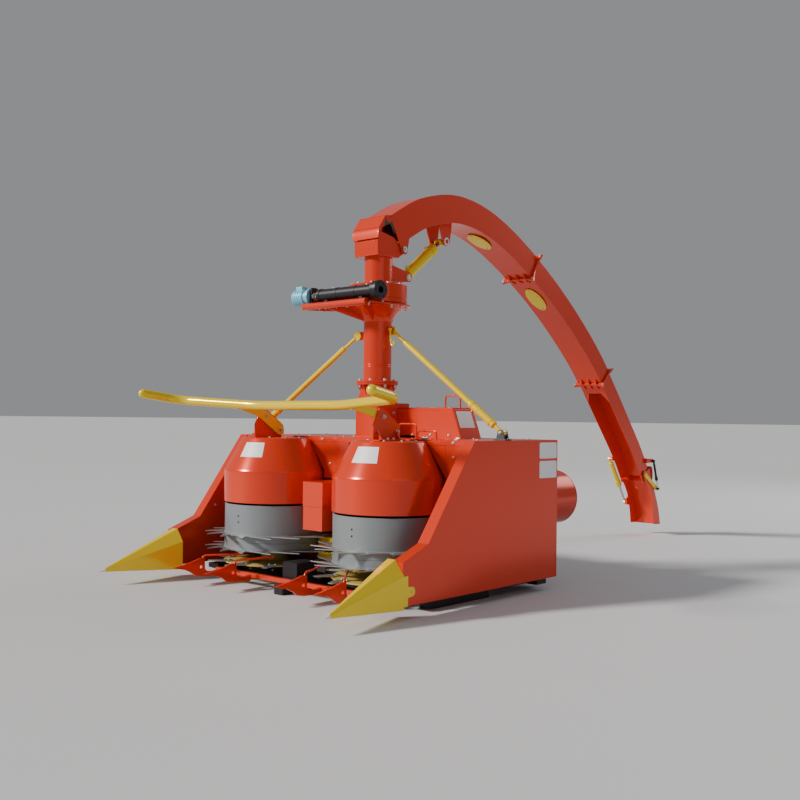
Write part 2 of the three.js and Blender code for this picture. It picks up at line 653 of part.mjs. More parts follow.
function slewMotor() {
  const { y, z } = worm;
  const flange = bar([motor.right - 16, y, z], [motor.right, y, z], motor.radius, motor.radius, 16);
  const can = bar([motor.left, y, z], [motor.right - 40, y, z], motor.radius - 1, motor.radius - 1, 16);
  const slim = motor.radius - 7;
  const waist = bar([motor.right - 42, y, z], [motor.right - 14, y, z], slim, slim, 16);
  const ports = block(motor.left + 20, motor.left + 66, y - 22, y + 22, z, z + motor.radius + 14);
  return join(flange, can, waist, ports);
}

// Telescoping stay from an eye on the tower to a clevis foot on the sheet-metal body.
function stay(eye, foot) {
  const [ex, ey, ez] = eye;
  const [fx, fy, fz] = foot;
  const at = (share) => [ex + (fx - ex) * share, ey + (fy - ey) * share, ez + (fz - ez) * share];
  const pieces = [bar(at(0.022), at(0.16), 9, 9, 10), bar(at(0.12), at(0.74), 15),
    bar(at(0.72), at(0.93), 19),
    bar(at(0.92), at(1), 10, 10, 10), bar([ex, ey - 5, ez], [ex, ey + 5, ez], 24, 24, 12),
    bar([fx, fy - 14, fz], [fx, fy + 14, fz], 16)];
  const base = body.top + seatGap;
  pieces.push(block(fx - 34, fx + 34, fy - 24, fy + 24, base, base + 6));
  for (const offset of [-20, 12]) {
    const cheek = [[base, fx - 22], [base, fx + 22], [fz + 14, fx + 12], [fz + 14, fx - 12]];
    pieces.push(alongY(cheek, fy + offset, fy + offset + 8));
  }
  return join(...pieces);
}

// ---------------------------------------------------------------- turret
function turretTube() {
  const { y, radius, wall } = tower;
  const seat = platform.top + seatGap;
  const tube = turned([[radius - wall, seat], [100, seat], [100, ring.bottom], [ring.radius, ring.bottom],
    [ring.radius, ring.top], [radius, ring.top], [radius, turretTop], [radius - wall, turretTop],
    [radius - wall, seat]], 0, y);
  const pieces = [tube];
  const gap = tiltCylinder.halfWidth + seatGap;
  const outline = [[y + radius - 14, turretTop - 26], [tiltLow.y + 8, tiltLow.z + 26],
    [tiltLow.y + 24, tiltLow.z + 12], [tiltLow.y + 26, tiltLow.z - 6], [tiltLow.y + 14, tiltLow.z - 24],
    [y + radius - 14, turretTop - 120]];
  for (const [, side] of sides) {
    const [x0, x1] = side > 0 ? [gap, gap + 8] : [-gap - 8, -gap];
    pieces.push(alongX(outline, x0, x1));
  }
  const bore = bar([0, y, seat - 5], [0, y, turretTop + 5], radius - wall, radius - wall, 20);
  return cut(join(...pieces), bore);
}

function turretHead() {
  const { half, wall, earRadius, pinRadius } = head;
  const bottom = turretTop + seatGap;
  const ear = arc(earRadius, 100, -40, 8, [tiltPin.y, tiltPin.z]);
  const outline = [[246, bottom], [243, 1700], [243, 1750], [258, 1751], [266, 1790], [363, 1772],
    [415, 1741], ...ear, [398, bottom]];
  const inside = [[246 + wall, bottom + wall], [243 + wall, 1700], [243 + wall, 1900], [421, 1900],
    [421, 1712], [394, bottom + wall]];
  const box = cut(alongX(outline, -half, half), alongX(inside, wall - half, half - wall));
  const bore = bar([0, tower.y, bottom - 5], [0, tower.y, bottom + 20], tower.radius - tower.wall,
    tower.radius - tower.wall, 20);
  const slot = alongX([[421, 1650], [470, 1650], [470, 1760], [421, 1760]], wall - half, half - wall);
  const pins = [];
  for (const [, side] of sides) {
    const at = (x) => [side * x, tiltPin.y, tiltPin.z];
    pins.push(bar(at(half - 3), at(spout.half + 3), pinRadius, pinRadius, pinSides));
    pins.push(bar(at(spout.half + 3), at(spout.half + 11), pinRadius + 6, pinRadius + 6, 12));
  }
  return join(cut(box, bore, slot), ...pins);
}

// ---------------------------------------------------------------- spout
// Outer wall of the spout seen from the side, from the turret to its tip.
const spoutCurve = new THREE.SplineCurve(toVectors([[325, 1877], [586, 2016], [929, 2079], [1335, 1992],
  [1870, 1713], [2380, 1328], [2800, 880], [3100, 505], [3284, 79]]));
const shares = { firstCollar: 0.372, secondCollar: 0.655, open: 0.9 };

// Point of the duct at a share of its length, a distance in from the outer wall.
function ductPoint(share, inward) {
  const at = Math.min(Math.max(share, 0), 1);
  const point = spoutCurve.getPointAt(at);
  const along = spoutCurve.getTangentAt(at);
  point.addScaledVector(along, (share - at) * spoutCurve.getLength());
  return [point.x + along.y * inward, point.y - along.x * inward];
}

const ductDepth = (share) => THREE.MathUtils.lerp(spout.depthStart, spout.depthEnd, share);

// Side outline of the duct between two shares; the margins draw in its outer and inner walls.
function ductOutline(from, to, outerMargin, innerMargin, steps) {
  const outer = [];
  const inner = [];
  for (let i = 0; i <= steps; i += 1) {
    const share = from + ((to - from) * i) / steps;
    outer.push(ductPoint(share, outerMargin));
    inner.push(ductPoint(share, ductDepth(share) - innerMargin));
  }
  return [...outer, ...inner.reverse()];
}

// Flat frame round the duct, with pointed ears at its corners.
function collarPlate(share, half, forward) {
  const length = spoutCurve.getLength();
  const step = (collar.plate / length) * (forward ? 1 : -1);
  const gap = (seatGap / 2 / length) * (forward ? 1 : -1);
  const [near, far] = [share + gap, share + gap + step];
  const inmost = ductDepth(share) + collar.width;
  const outline = [ductPoint(near, -collar.width), ductPoint(near, inmost), ductPoint(far, inmost),
    ductPoint(far, -collar.width)];
  return alongX(outline, -half - collar.width, half + collar.width);
}

function hollowDuct(from, to, half, steps, startCollar, endCollar, lugs = []) {
  const length = spoutCurve.getLength();
  const gap = seatGap / 2 / length;
  const [start, end] = [startCollar ? from + gap : from, endCollar ? to - gap : to];
  const pieces = [alongX(ductOutline(start, end, 0, 0, steps), -half, half), ...lugs];
  if (startCollar) pieces.push(collarPlate(from, half, true));
  if (endCollar) pieces.push(collarPlate(to, half, false));
  const reach = 20 / length;
  const { wall } = spout;
  const inside = alongX(ductOutline(from - reach, to + reach, wall, wall, steps), wall - half, half - wall);
  return cut(join(...pieces), inside);
}

function spoutArch() {
  const { half, wall } = spout;
  const lug = [[775, 1940], [878, 1940], [878, 1900], [862, 1812], [846, 1797], [822, 1797], [806, 1812],
    [775, 1890]];
  const lugs = [[42, 50], [-50, -42]].map(([x0, x1]) => alongX(lug, x0, x1));
  const duct = hollowDuct(0, shares.firstCollar, half, 16, false, true, lugs);
  const mouth = alongX([[300, 1650], [404, 1700], [452, 1764], [452, 1600]], -half + wall, half - wall);
  const floorCut = alongX([[380, 1690], [447, 1690], [447, 1790], [400, 1780]], wall - half, half - wall);
  const pieces = [cut(duct, mouth, floorCut)];
  const ear = [[404, 1733], ...arc(26, 170, 370, 14, [tiltPin.y, tiltPin.z]), [476, 1786], [430, 1790]];
  for (const [x0, x1] of [[half - wall, half], [-half, wall - half]]) pieces.push(alongX(ear, x0, x1));
  const visor = alongX([[234, 1752], [237, 1782], [243, 1809], [288, 1875], [330, 1881], [336, 1850],
    [329, 1842], [268, 1811], [258, 1786], [252, 1752]], -half, half);
  const visorInside = alongX([[238, 1740], [241, 1782], [247, 1807], [290, 1870.5], [345, 1878],
    [345, 1740]], wall - half, half - wall);
  pieces.push(cut(visor, visorInside));
  const boreRadius = head.pinRadius / Math.cos(Math.PI / pinSides) + seatGap;
  const reach = half + 5;
  const holes = bar([-reach, tiltPin.y, tiltPin.z], [reach, tiltPin.y, tiltPin.z], boreRadius, boreRadius,
    pinSides);
  return cut(join(...pieces), holes);
}

const spoutMiddle = () => hollowDuct(shares.firstCollar, shares.secondCollar, spout.half - 2, 10, true, true);

// The last stretch has no inner wall, so that the crop leaves along the outer one.
function spoutOpenEnd() {
  const half = spoutEndHalf;
  const { secondCollar, open } = shares;
  const length = spoutCurve.getLength();
  const gap = seatGap / 2 / length;
  const reach = 20 / length;
  const shell = alongX(ductOutline(secondCollar + gap, open, 0, 0, 14), -half, half);
  const { wall } = spout;
  const inner = half - wall;
  const inside = alongX(ductOutline(secondCollar - reach, open + reach, wall, wall, 14), -inner, inner);
  const slot = alongX(ductOutline(secondCollar + 90 / length, open + reach, wall, -30, 12), -inner, inner);
  const pieces = [shell, collarPlate(secondCollar, half, true)];
  const ear = circle(44, 16, [flapPin.y, flapPin.z]);
  for (const [x0, x1] of [[inner, half], [-half, -inner]]) pieces.push(alongX(ear, x0, x1));
  const { x, topY, topZ, radius } = flapCylinder;
  const bracketOutline = [[topY - 14, topZ - 12], [topY - 14, topZ + 14], [topY + 10, topZ + 24],
    [3012, topZ + 14], [3012, topZ - 34], [topY + 12, topZ - 14]];
  pieces.push(alongX(bracketOutline, x + radius + 6, 1 - half));
  pieces.push(bar([x + 8 + seatGap, topY, topZ], [x + radius + 7, topY, topZ], 12));
  const spring = returnSpring;
  const springArm = [[3062, 532], [3062, 566], [spring.topY + 12, spring.topZ + 14],
    [spring.topY + 12, spring.topZ - 12]];
  pieces.push(alongX(springArm, half - 1, spring.x - 8 - seatGap));
  return cut(join(...pieces), inside, slot);
}

// Oval cover on the inner face of the duct, at a share of the spout's length. The face is hollow, so a flat
// cover rises a little from the chord before its ends clear it.
const coverRise = 2;

function inspectionCover(share) {
  const length = spoutCurve.getLength();
  const halfLength = 88 / length;
  const thickness = 8;
  const [y0, z0] = ductPoint(share - halfLength, ductDepth(share));
  const [y1, z1] = ductPoint(share + halfLength, ductDepth(share));
  const along = new THREE.Vector2(y1 - y0, z1 - z0);
  const size = along.length();
  along.normalize();
  const points = [];
  for (const depth of [coverRise, coverRise + thickness]) {
    for (const [a, x] of circle(1, 16)) {
      const s = (a * size) / 2 + size / 2;
      points.push([x * 42, y0 + along.x * s + along.y * depth, z0 + along.y * s - along.x * depth]);
    }
  }
  return hull(points);
}

// ---------------------------------------------------------------- cylinders
// Barrel with its eye at `from`, reaching a share of the way to the rod's eye at `to`.
function cylinderBarrel(x, from, to, share, { radius, eye, halfWidth = 8 }) {
  const at = (part) => [x, from.y + (to.y - from.y) * part, from.z + (to.z - from.z) * part];
  const pieces = [bar([x - halfWidth, from.y, from.z], [x + halfWidth, from.y, from.z], eye, eye, 12),
    bar(at(0.02), at(0.11), Math.min(halfWidth, eye) * 0.85), bar(at(0.09), at(share), radius, radius, 12),
    bar(at(share - 0.12), at(share), radius + 3, radius + 3, 12)];
  return cut(join(...pieces), bar(at(0.13), at(share + 0.1), radius * 0.66, radius * 0.66, 8));
}

function cylinderRod(x, from, to, start, { radius, rod, eye, halfWidth = 8, pinReach = halfWidth }) {
  const at = (part) => [x, from.y + (to.y - from.y) * part, from.z + (to.z - from.z) * part];
  const across = (reach, size) => bar([x - reach, to.y, to.z], [x + reach, to.y, to.z], size, size, 12);
  const piston = bar(at(start), at(start + 0.08), radius * 0.6, radius * 0.6, 8);
  const pin = across(pinReach, eye * 0.55);
  return join(bar(at(start), at(1), rod, rod, 8), piston, across(halfWidth, eye), pin);
}

// ---------------------------------------------------------------- deflector flap
function deflectorFlap() {
  const { half, thickness, ear } = flapWall;
  const outer = [[3158, 400], [3204, 311], [3256, 197], [3284, 79]];
  const inner = [[3190, 83], [3155, 266], [3100, 360], [3040, 420]];
  const sideOutline = [...outer, ...inner, [flapPin.y - 26, flapPin.z + 10], [flapPin.y - 8, flapPin.z + ear],
    [flapPin.y + 18, flapPin.z + 24]];
  const wall = outer.map(([y, z]) => [y - thickness - 1, z - 2]).reverse();
  const pieces = [alongX([...outer, ...wall], -half, half)];
  for (const x of [half - thickness, -half]) pieces.push(alongX(sideOutline, x, x + thickness));
  for (const [, side] of sides) {
    const at = (x) => [side * x, flapPin.y, flapPin.z];
    pieces.push(bar(at(spoutEndHalf + seatGap), at(half), 12, 12, 16));
  }
  const lug = [[3128, 258], [3150, 262], [3190, 292], [3196, 230], [3160, 214], [3134, 218]];
  pieces.push(alongX(lug, flapCylinder.x + 8 + seatGap, 2 - half));
  return join(...pieces);
}

function flapArm() {
  const x0 = flapWall.half + seatGap;
  const { eyeY, eyeZ } = returnSpring;
  const outline = [...arc(16, 60, 240, 8, [flapPin.y, flapPin.z]), [eyeY - 10, eyeZ - 12],
    [eyeY + 12, eyeZ - 10], [eyeY + 12, eyeZ + 12]];
  return alongX(outline, x0, returnSpring.x - 8 - seatGap);
}

// ---------------------------------------------------------------- assembly
attach(machine, 'main_frame', blackPaint, mainFrame());
attach(machine, 'deck', redPaint, deckPlate());
attach(machine, 'back_wall', redPaint, backWalls());
attach(machine, 'centre_divider', redPaint, centreDivider());
attach(machine, 'scraper_plates', yellowPaint, scraperPlates());
attach(machine, 'stalk_dividers', redPaint, stalkDividers());
attach(machine, 'push_bar', yellowPaint, pushBarWithArms());
attach(machine, 'chopper_housing', redPaint, chopperHousing());
attach(machine, 'drive_gearbox', blackPaint, driveGearbox());
attach(machine, 'drive_cover', redPaint, driveCoverDrum());
attach(machine, 'hitch_frame', blackPaint, hitchFrame());
attach(machine, 'top_link_mast', blackPaint, topLinkMast());
attach(machine, 'tower_foot', redPaint, towerFoot());
attach(machine, 'tower_tube', redPaint, towerTube());
attach(machine, 'slew_platform', redPaint, slewPlatform());
attach(machine, 'worm_housing', blackPaint, wormHousing());
attach(machine, 'slew_motor', motorBlue, slewMotor());
attach(machine, 'stay_right', yellowPaint, stay([100, tower.y + 7 + seatGap, 1284],
    [body.halfWidth - 45, 375, body.top + 34]));
attach(machine, 'stay_left', yellowPaint, stay([-98, tower.y - 47 - seatGap, 1262],
    [90 - body.halfWidth, 165, body.top + 34]));

for (const [label, side] of sides) {
  attach(machine, `side_panel_${label}`, redPaint, sidePanel(side));
  attach(machine, `divider_cone_${label}`, yellowPaint, dividerCone(side));
  attach(machine, `rotor_cover_${label}`, redPaint, rotorCover(side));
  attach(machine, `bar_bracket_${label}`, redPaint, barBracket(side));

  const rotorGroup = movingGroup(`rotor_${label}`, machine, side * rotor.x, 0, 0);
  hang(rotorGroup, `rotor_drum_${label}`, greyPaint, rotorDrum());
  hang(rotorGroup, `toothed_disc_upper_${label}`, knifeSteel, toothedDisc(side, rotorDiscs.upper));
  hang(rotorGroup, `toothed_disc_lower_${label}`, knifeSteel, toothedDisc(side, rotorDiscs.lower));

  const cutterGroup = movingGroup(`cutter_${label}`, machine, side * rotor.x, 0, 0);
  hang(cutterGroup, `cutter_disc_${label}`, knifeSteel, cutterDisc(side));
}

const pto = movingGroup('pto', machine, 0, gearbox.rear, (gearbox.bottom + gearbox.top) / 2);
attach(pto, 'pto_shaft', brightSteel, ptoShaft());

const lidHingeY = chopper.front + chopper.depth + 4;
const chopperCover = movingGroup('lid', machine, 0, lidHingeY, chopper.boxTop + seatGap + 5);
attach(chopperCover, 'chopper_lid', redPaint, chopperLid());

const turret = movingGroup('turret', machine, 0, tower.y, platform.top);
attach(turret, 'turret_tube', redPaint, turretTube());
attach(turret, 'turret_head', redPaint, turretHead());

const tiltBarrel = movingGroup('tilt_barrel', turret, 0, tiltLow.y, tiltLow.z);
attach(tiltBarrel, 'tilt_cylinder', yellowPaint, cylinderBarrel(0, tiltLow, tiltHigh, 0.82, tiltCylinder));
const tiltRod = movingGroup('tilt_rod', tiltBarrel, 0, tiltLow.y, tiltLow.z);
attach(tiltRod, 'tilt_cylinder_rod', brightSteel, cylinderRod(0, tiltLow, tiltHigh, 0.3, tiltCylinder));

const spoutGroup = movingGroup('spout', turret, 0, tiltPin.y, tiltPin.z);
attach(spoutGroup, 'spout_arch', redPaint, spoutArch());
attach(spoutGroup, 'spout_middle', redPaint, spoutMiddle());
attach(spoutGroup, 'spout_open_end', redPaint, spoutOpenEnd());
attach(spoutGroup, 'inspection_cover_upper', yellowPaint, inspectionCover(0.25));
attach(spoutGroup, 'inspection_cover_lower', yellowPaint, inspectionCover(0.43));

const flapGroup = movingGroup('flap', spoutGroup, 0, flapPin.y, flapPin.z);
attach(flapGroup, 'deflector_flap', redPaint, deflectorFlap());
attach(flapGroup, 'flap_arm', yellowPaint, flapArm());

// 'share' is how far along the barrel ends, and 'start' is where the piston stands inside it.
function smallCylinder(prefix, group, { x, topY, topZ, eyeY, eyeZ, radius, rod, eye }, material, share,
    start) {
  const from = { y: topY, z: topZ };
  const to = { y: eyeY, z: eyeZ };
  const size = { radius, rod, eye };
  const barrel = movingGroup(`${prefix}_barrel`, group, x, topY, topZ);
  attach(barrel, `${prefix}_barrel`, material, cylinderBarrel(x, from, to, share, size));
  const rodGroup = movingGroup(`${prefix}_rod`, barrel, x, topY, topZ);
  attach(rodGroup, `${prefix}_rod`, brightSteel, cylinderRod(x, from, to, start, size));
}

smallCylinder('flap_cylinder', spoutGroup, flapCylinder, yellowPaint, 0.62, 0.38);
smallCylinder('return_spring', spoutGroup, returnSpring, blackPaint, 0.7, 0.23);

const bounds = new THREE.Box3().setFromObject(harvester);
machine.position.y = -(bounds.min.y + bounds.max.y) / 2;

export default harvester;
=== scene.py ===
"""Finished looks of a tractor-mounted two-rotor forage harvester, built round its CAD frame.

Lengths are metres. A place given as (x, y, z) counts x from the middle of the machine, y rearwards
from the line through both rotor axes and z up from the ground; place() turns it into the frame's
own coordinates.
"""

import math
from itertools import product

import bmesh
import bpy
from mathutils import Matrix, Vector
from mathutils.geometry import tessellate_polygon


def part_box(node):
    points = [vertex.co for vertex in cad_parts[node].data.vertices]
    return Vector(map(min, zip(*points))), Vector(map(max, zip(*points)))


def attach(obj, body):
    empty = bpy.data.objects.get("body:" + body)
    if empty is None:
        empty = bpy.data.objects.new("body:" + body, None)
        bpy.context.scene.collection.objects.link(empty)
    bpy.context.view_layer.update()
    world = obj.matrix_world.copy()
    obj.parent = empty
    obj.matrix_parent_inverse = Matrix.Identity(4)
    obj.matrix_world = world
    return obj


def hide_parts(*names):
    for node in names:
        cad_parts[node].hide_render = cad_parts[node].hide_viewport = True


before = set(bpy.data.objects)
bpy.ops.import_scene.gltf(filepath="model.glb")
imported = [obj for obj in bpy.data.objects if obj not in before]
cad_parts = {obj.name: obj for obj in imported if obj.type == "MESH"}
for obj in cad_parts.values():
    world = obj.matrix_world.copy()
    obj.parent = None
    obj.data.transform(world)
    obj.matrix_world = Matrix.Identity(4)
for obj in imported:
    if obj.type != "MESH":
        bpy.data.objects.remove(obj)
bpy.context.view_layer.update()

bl_info = {
    "name": "Two-rotor forage harvester",
    "version": (1, 0, 0),
    "blender": (4, 5, 0),
    "location": "View3D > Sidebar > Harvester",
    "description": "Builds the paint, sheet metal and fittings of a forage harvester round its CAD frame",
    "category": "Add Mesh",
}

ROTOR_LINE = sum(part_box("rotor_drum_left"), Vector()).y / 2
SIDES = (("left", -1), ("right", 1))
MM = 0.001
RIGHT, REAR, UP = Matrix.Identity(3)
FRONT, DOWN = -REAR, -UP
CREASE = math.radians(38)
SHARP = math.radians(28)
DECK_TOP = 0.736
ROTOR_X = 0.4
FLOOR_HALF = 400.0


def place(x, y, z):
    """A point counted from the rotor line, in the frame's coordinates."""
    return Vector((x, ROTOR_LINE + y, z))


def mm(*points):
    """Points whose numbers are millimetres."""
    return [tuple(value * MM for value in point) for point in points]


def polar(radius, angle, z=0.0):
    return Vector((radius * math.cos(angle), radius * math.sin(angle), z))


# ---------------------------------------------------------------- shaders
class Socket:
    """A shader value that Python arithmetic can be written on."""

    def __init__(self, finish, socket):
        self.finish = finish
        self.socket = socket

    def _maths(self, operation, first, second):
        return self.finish.node("ShaderNodeMath", {"operation": operation}, {0: first, 1: second})

    def __add__(self, other):
        return self._maths("ADD", self, other)

    def __rsub__(self, other):
        return self._maths("SUBTRACT", other, self)

    def __mul__(self, other):
        return self._maths("MULTIPLY", self, other)

    __radd__ = __add__
    __rmul__ = __mul__


class Finish:
    """One procedural material, built node by node."""

    def __init__(self, name):
        self.material = bpy.data.materials.new(name)
        self.material.use_nodes = True
        self.tree = self.material.node_tree
        self.tree.nodes.clear()
        surface = self.node("ShaderNodeBsdfPrincipled")
        self.shader = surface.socket.node
        self.node("ShaderNodeOutputMaterial", None, {"Surface": surface})
        self.object = self.node("ShaderNodeTexCoord", output="Object")

    def node(self, kind, settings=None, inputs=None, output=0):
        """Adds a node: its settings first, then the values or links of its sockets."""
        node = self.tree.nodes.new(kind)
        for name, value in (settings or {}).items():
            setattr(node, name, value)
        for name, value in (inputs or {}).items():
            self.feed(node.inputs[name], value)
        return Socket(self, node.outputs[output]) if node.outputs else None

    def feed(self, socket, value):
        if isinstance(value, Socket):
            self.tree.links.new(value.socket, socket)
        else:
            socket.default_value = value

    def set(self, **inputs):
        """Sets or links the principled shader's own sockets."""
        for name, value in inputs.items():
            self.feed(self.shader.inputs[name.replace("_", " ")], value)

    def noise(self, scale, detail=3.0, roughness=0.5, stretch=(1, 1, 1)):
        vector = self.object
        if stretch != (1, 1, 1):
            vector = self.node("ShaderNodeMapping", None, {"Vector": self.object, "Scale": stretch})
        return self.node("ShaderNodeTexNoise", None, {"Vector": vector, "Scale": scale, "Detail": detail,
                                                      "Roughness": roughness}, "Fac")

    def ramp(self, value, low, high):
        """0 below low, 1 above high, straight between; low may be the larger."""
        return self.node("ShaderNodeMapRange", {"clamp": True},
                         {"Value": value, "From Min": low, "From Max": high})

    def mix(self, factor, first, second):
        """A colour between two."""
        return self.node("ShaderNodeMix", {"data_type": "RGBA"}, {0: factor, 6: first, 7: second}, 2)

    def height(self):
        return self.node("ShaderNodeSeparateXYZ", None, {"Vector": self.object}, "Z")

    def bump(self, height, distance, strength=1.0, normal=None):
        inputs = {"Height": height, "Distance": distance, "Strength": strength}
        if normal is not None:
            inputs["Normal"] = normal
        return self.node("ShaderNodeBump", None, inputs)


def rgba(colour, gain=1.0):
    return tuple(channel * gain for channel in colour[:3]) + (1.0,)


DUST = (0.36, 0.29, 0.21, 1.0)
RUST = (0.16, 0.055, 0.02, 1.0)
PRIMER = (0.19, 0.17, 0.16, 1.0)


def paint(name, colour, roughness=0.3, coat=0.6, dust=0.35, chips=0.5, rust=0.0, dark=0.86):
    """Sprayed enamel: orange peel, uneven depth, fine scuffs, chipped edges and dust low down."""
    finish = Finish(name)
    clouds = finish.noise(3.1, 4.0)
    runs = finish.noise(9.0, 3.0, stretch=(1.0, 1.0, 0.18))
    shade = finish.ramp(clouds * 0.6 + runs * 0.4, 0.36, 0.66)
    base = finish.mix(shade, rgba(colour, dark), rgba(colour, 1.06))
    height = finish.height()
    speckle = finish.noise(140.0, 2.0, 0.7)
    patch = finish.noise(7.0, 5.0, 0.62)
    low = finish.ramp(height, 0.42, 0.04)
    dusty = finish.ramp(patch * 0.7 + speckle * 0.3 + low * 0.36, 0.62, 0.95) * dust
    base = finish.mix(dusty, base, DUST)
    scratch = finish.noise(38.0, 2.0, 0.6, (1.0, 1.0, 9.0))
    fine = finish.ramp(scratch, 0.7, 0.735) * finish.ramp(patch, 0.46, 0.6)
    base = finish.mix(fine * 0.22, base, rgba(colour, 1.5))
    soft = finish.node("ShaderNodeBevel", {"samples": 4}, {"Radius": 2.2 * MM})
    hard = finish.node("ShaderNodeNewGeometry", output="Normal")
    turn = finish.node("ShaderNodeVectorMath", {"operation": "DOT_PRODUCT"}, {0: soft, 1: hard}, "Value")
    edge = finish.ramp(turn, 0.97, 0.8)
    bare = finish.ramp(finish.noise(85.0, 4.0, 0.7) + edge * 0.12, 0.7, 0.74) * edge * chips
    base = finish.mix(bare, base, PRIMER)
    rough = roughness + speckle * 0.08 + dusty * 0.45 + fine * 0.2 + bare * 0.3
    if rust:
        streaks = finish.noise(26.0, 4.0, 0.6, (1.0, 1.0, 0.14))
        stain = finish.ramp(streaks * 0.55 + patch * 0.6, 0.6, 0.74) * rust
        base = finish.mix(stain, base, RUST)
        rough = rough + stain * 0.3
    peel = finish.noise(420.0, 1.0)
    normal = finish.bump(peel, 0.06 * MM, 0.35, finish.bump(finish.noise(4.5, 1.0), 1.6 * MM, 0.35))
    finish.set(Base_Color=base, Roughness=rough, Normal=finish.bump(bare, -0.2 * MM, 0.6, normal),
               Coat_Weight=coat * (1 - dusty), Coat_Roughness=0.09, Coat_IOR=1.5)
    return finish.material


def steel(name, colour, roughness=0.34, grain=(1.0, 1.0, 1.0), tarnish=0.3, metallic=1.0):
    """Bare or plated steel with fine grain and a little tarnish."""
    finish = Finish(name)
    lines = finish.noise(260.0, 2.0, 0.6, grain)
    patch = finish.noise(16.0, 5.0, 0.65)
    stained = finish.ramp(patch + lines * 0.2, 0.56, 0.86) * tarnish
    base = finish.mix(stained, finish.mix(lines, rgba(colour, 0.82), rgba(colour, 1.1)), RUST)
    finish.set(Base_Color=base, Metallic=metallic * (1 - stained * 0.8),
               Roughness=roughness + lines * 0.14 + stained * 0.4,
               Normal=finish.bump(lines, 0.05 * MM, 0.5))
    return finish.material


def sheet_label(name, colour):
    """Blank vinyl label, slightly soiled."""
    finish = Finish(name)
    soil = finish.ramp(finish.noise(34.0, 5.0, 0.6), 0.52, 0.8) * 0.35
    finish.set(Base_Color=finish.mix(soil, rgba(colour), rgba(colour, 0.72)), Roughness=0.34 + soil * 0.5,
               Normal=finish.bump(finish.noise(60.0, 2.0), 0.1 * MM, 0.4))
    return finish.material


def gap_shade_finish(name):
    """Near-black finish, a little dusty, for the sheets that stand in as painted shade in the gap of the
    spout's visor.
    """
    finish = Finish(name)
    weave = finish.node("ShaderNodeTexVoronoi", None, {"Vector": finish.object, "Scale": 420.0}, "Distance")
    dusty = finish.ramp(finish.noise(22.0, 4.0), 0.46, 0.8) * 0.5
    finish.set(Base_Color=finish.mix(dusty, (0.012, 0.012, 0.013, 1), (0.09, 0.082, 0.07, 1)),
               Roughness=0.55 + dusty * 0.3, Normal=finish.bump(weave, 0.2 * MM, 0.5))
    return finish.material


def floor_finish(name, colour):
    """Pale matt studio floor."""
    finish = Finish(name)
    clouds = finish.noise(0.6, 3.0)
    finish.set(Base_Color=finish.mix(clouds, rgba(colour, 0.98), rgba(colour, 1.02)),
               Roughness=0.72 + clouds * 0.1)
    return finish.material


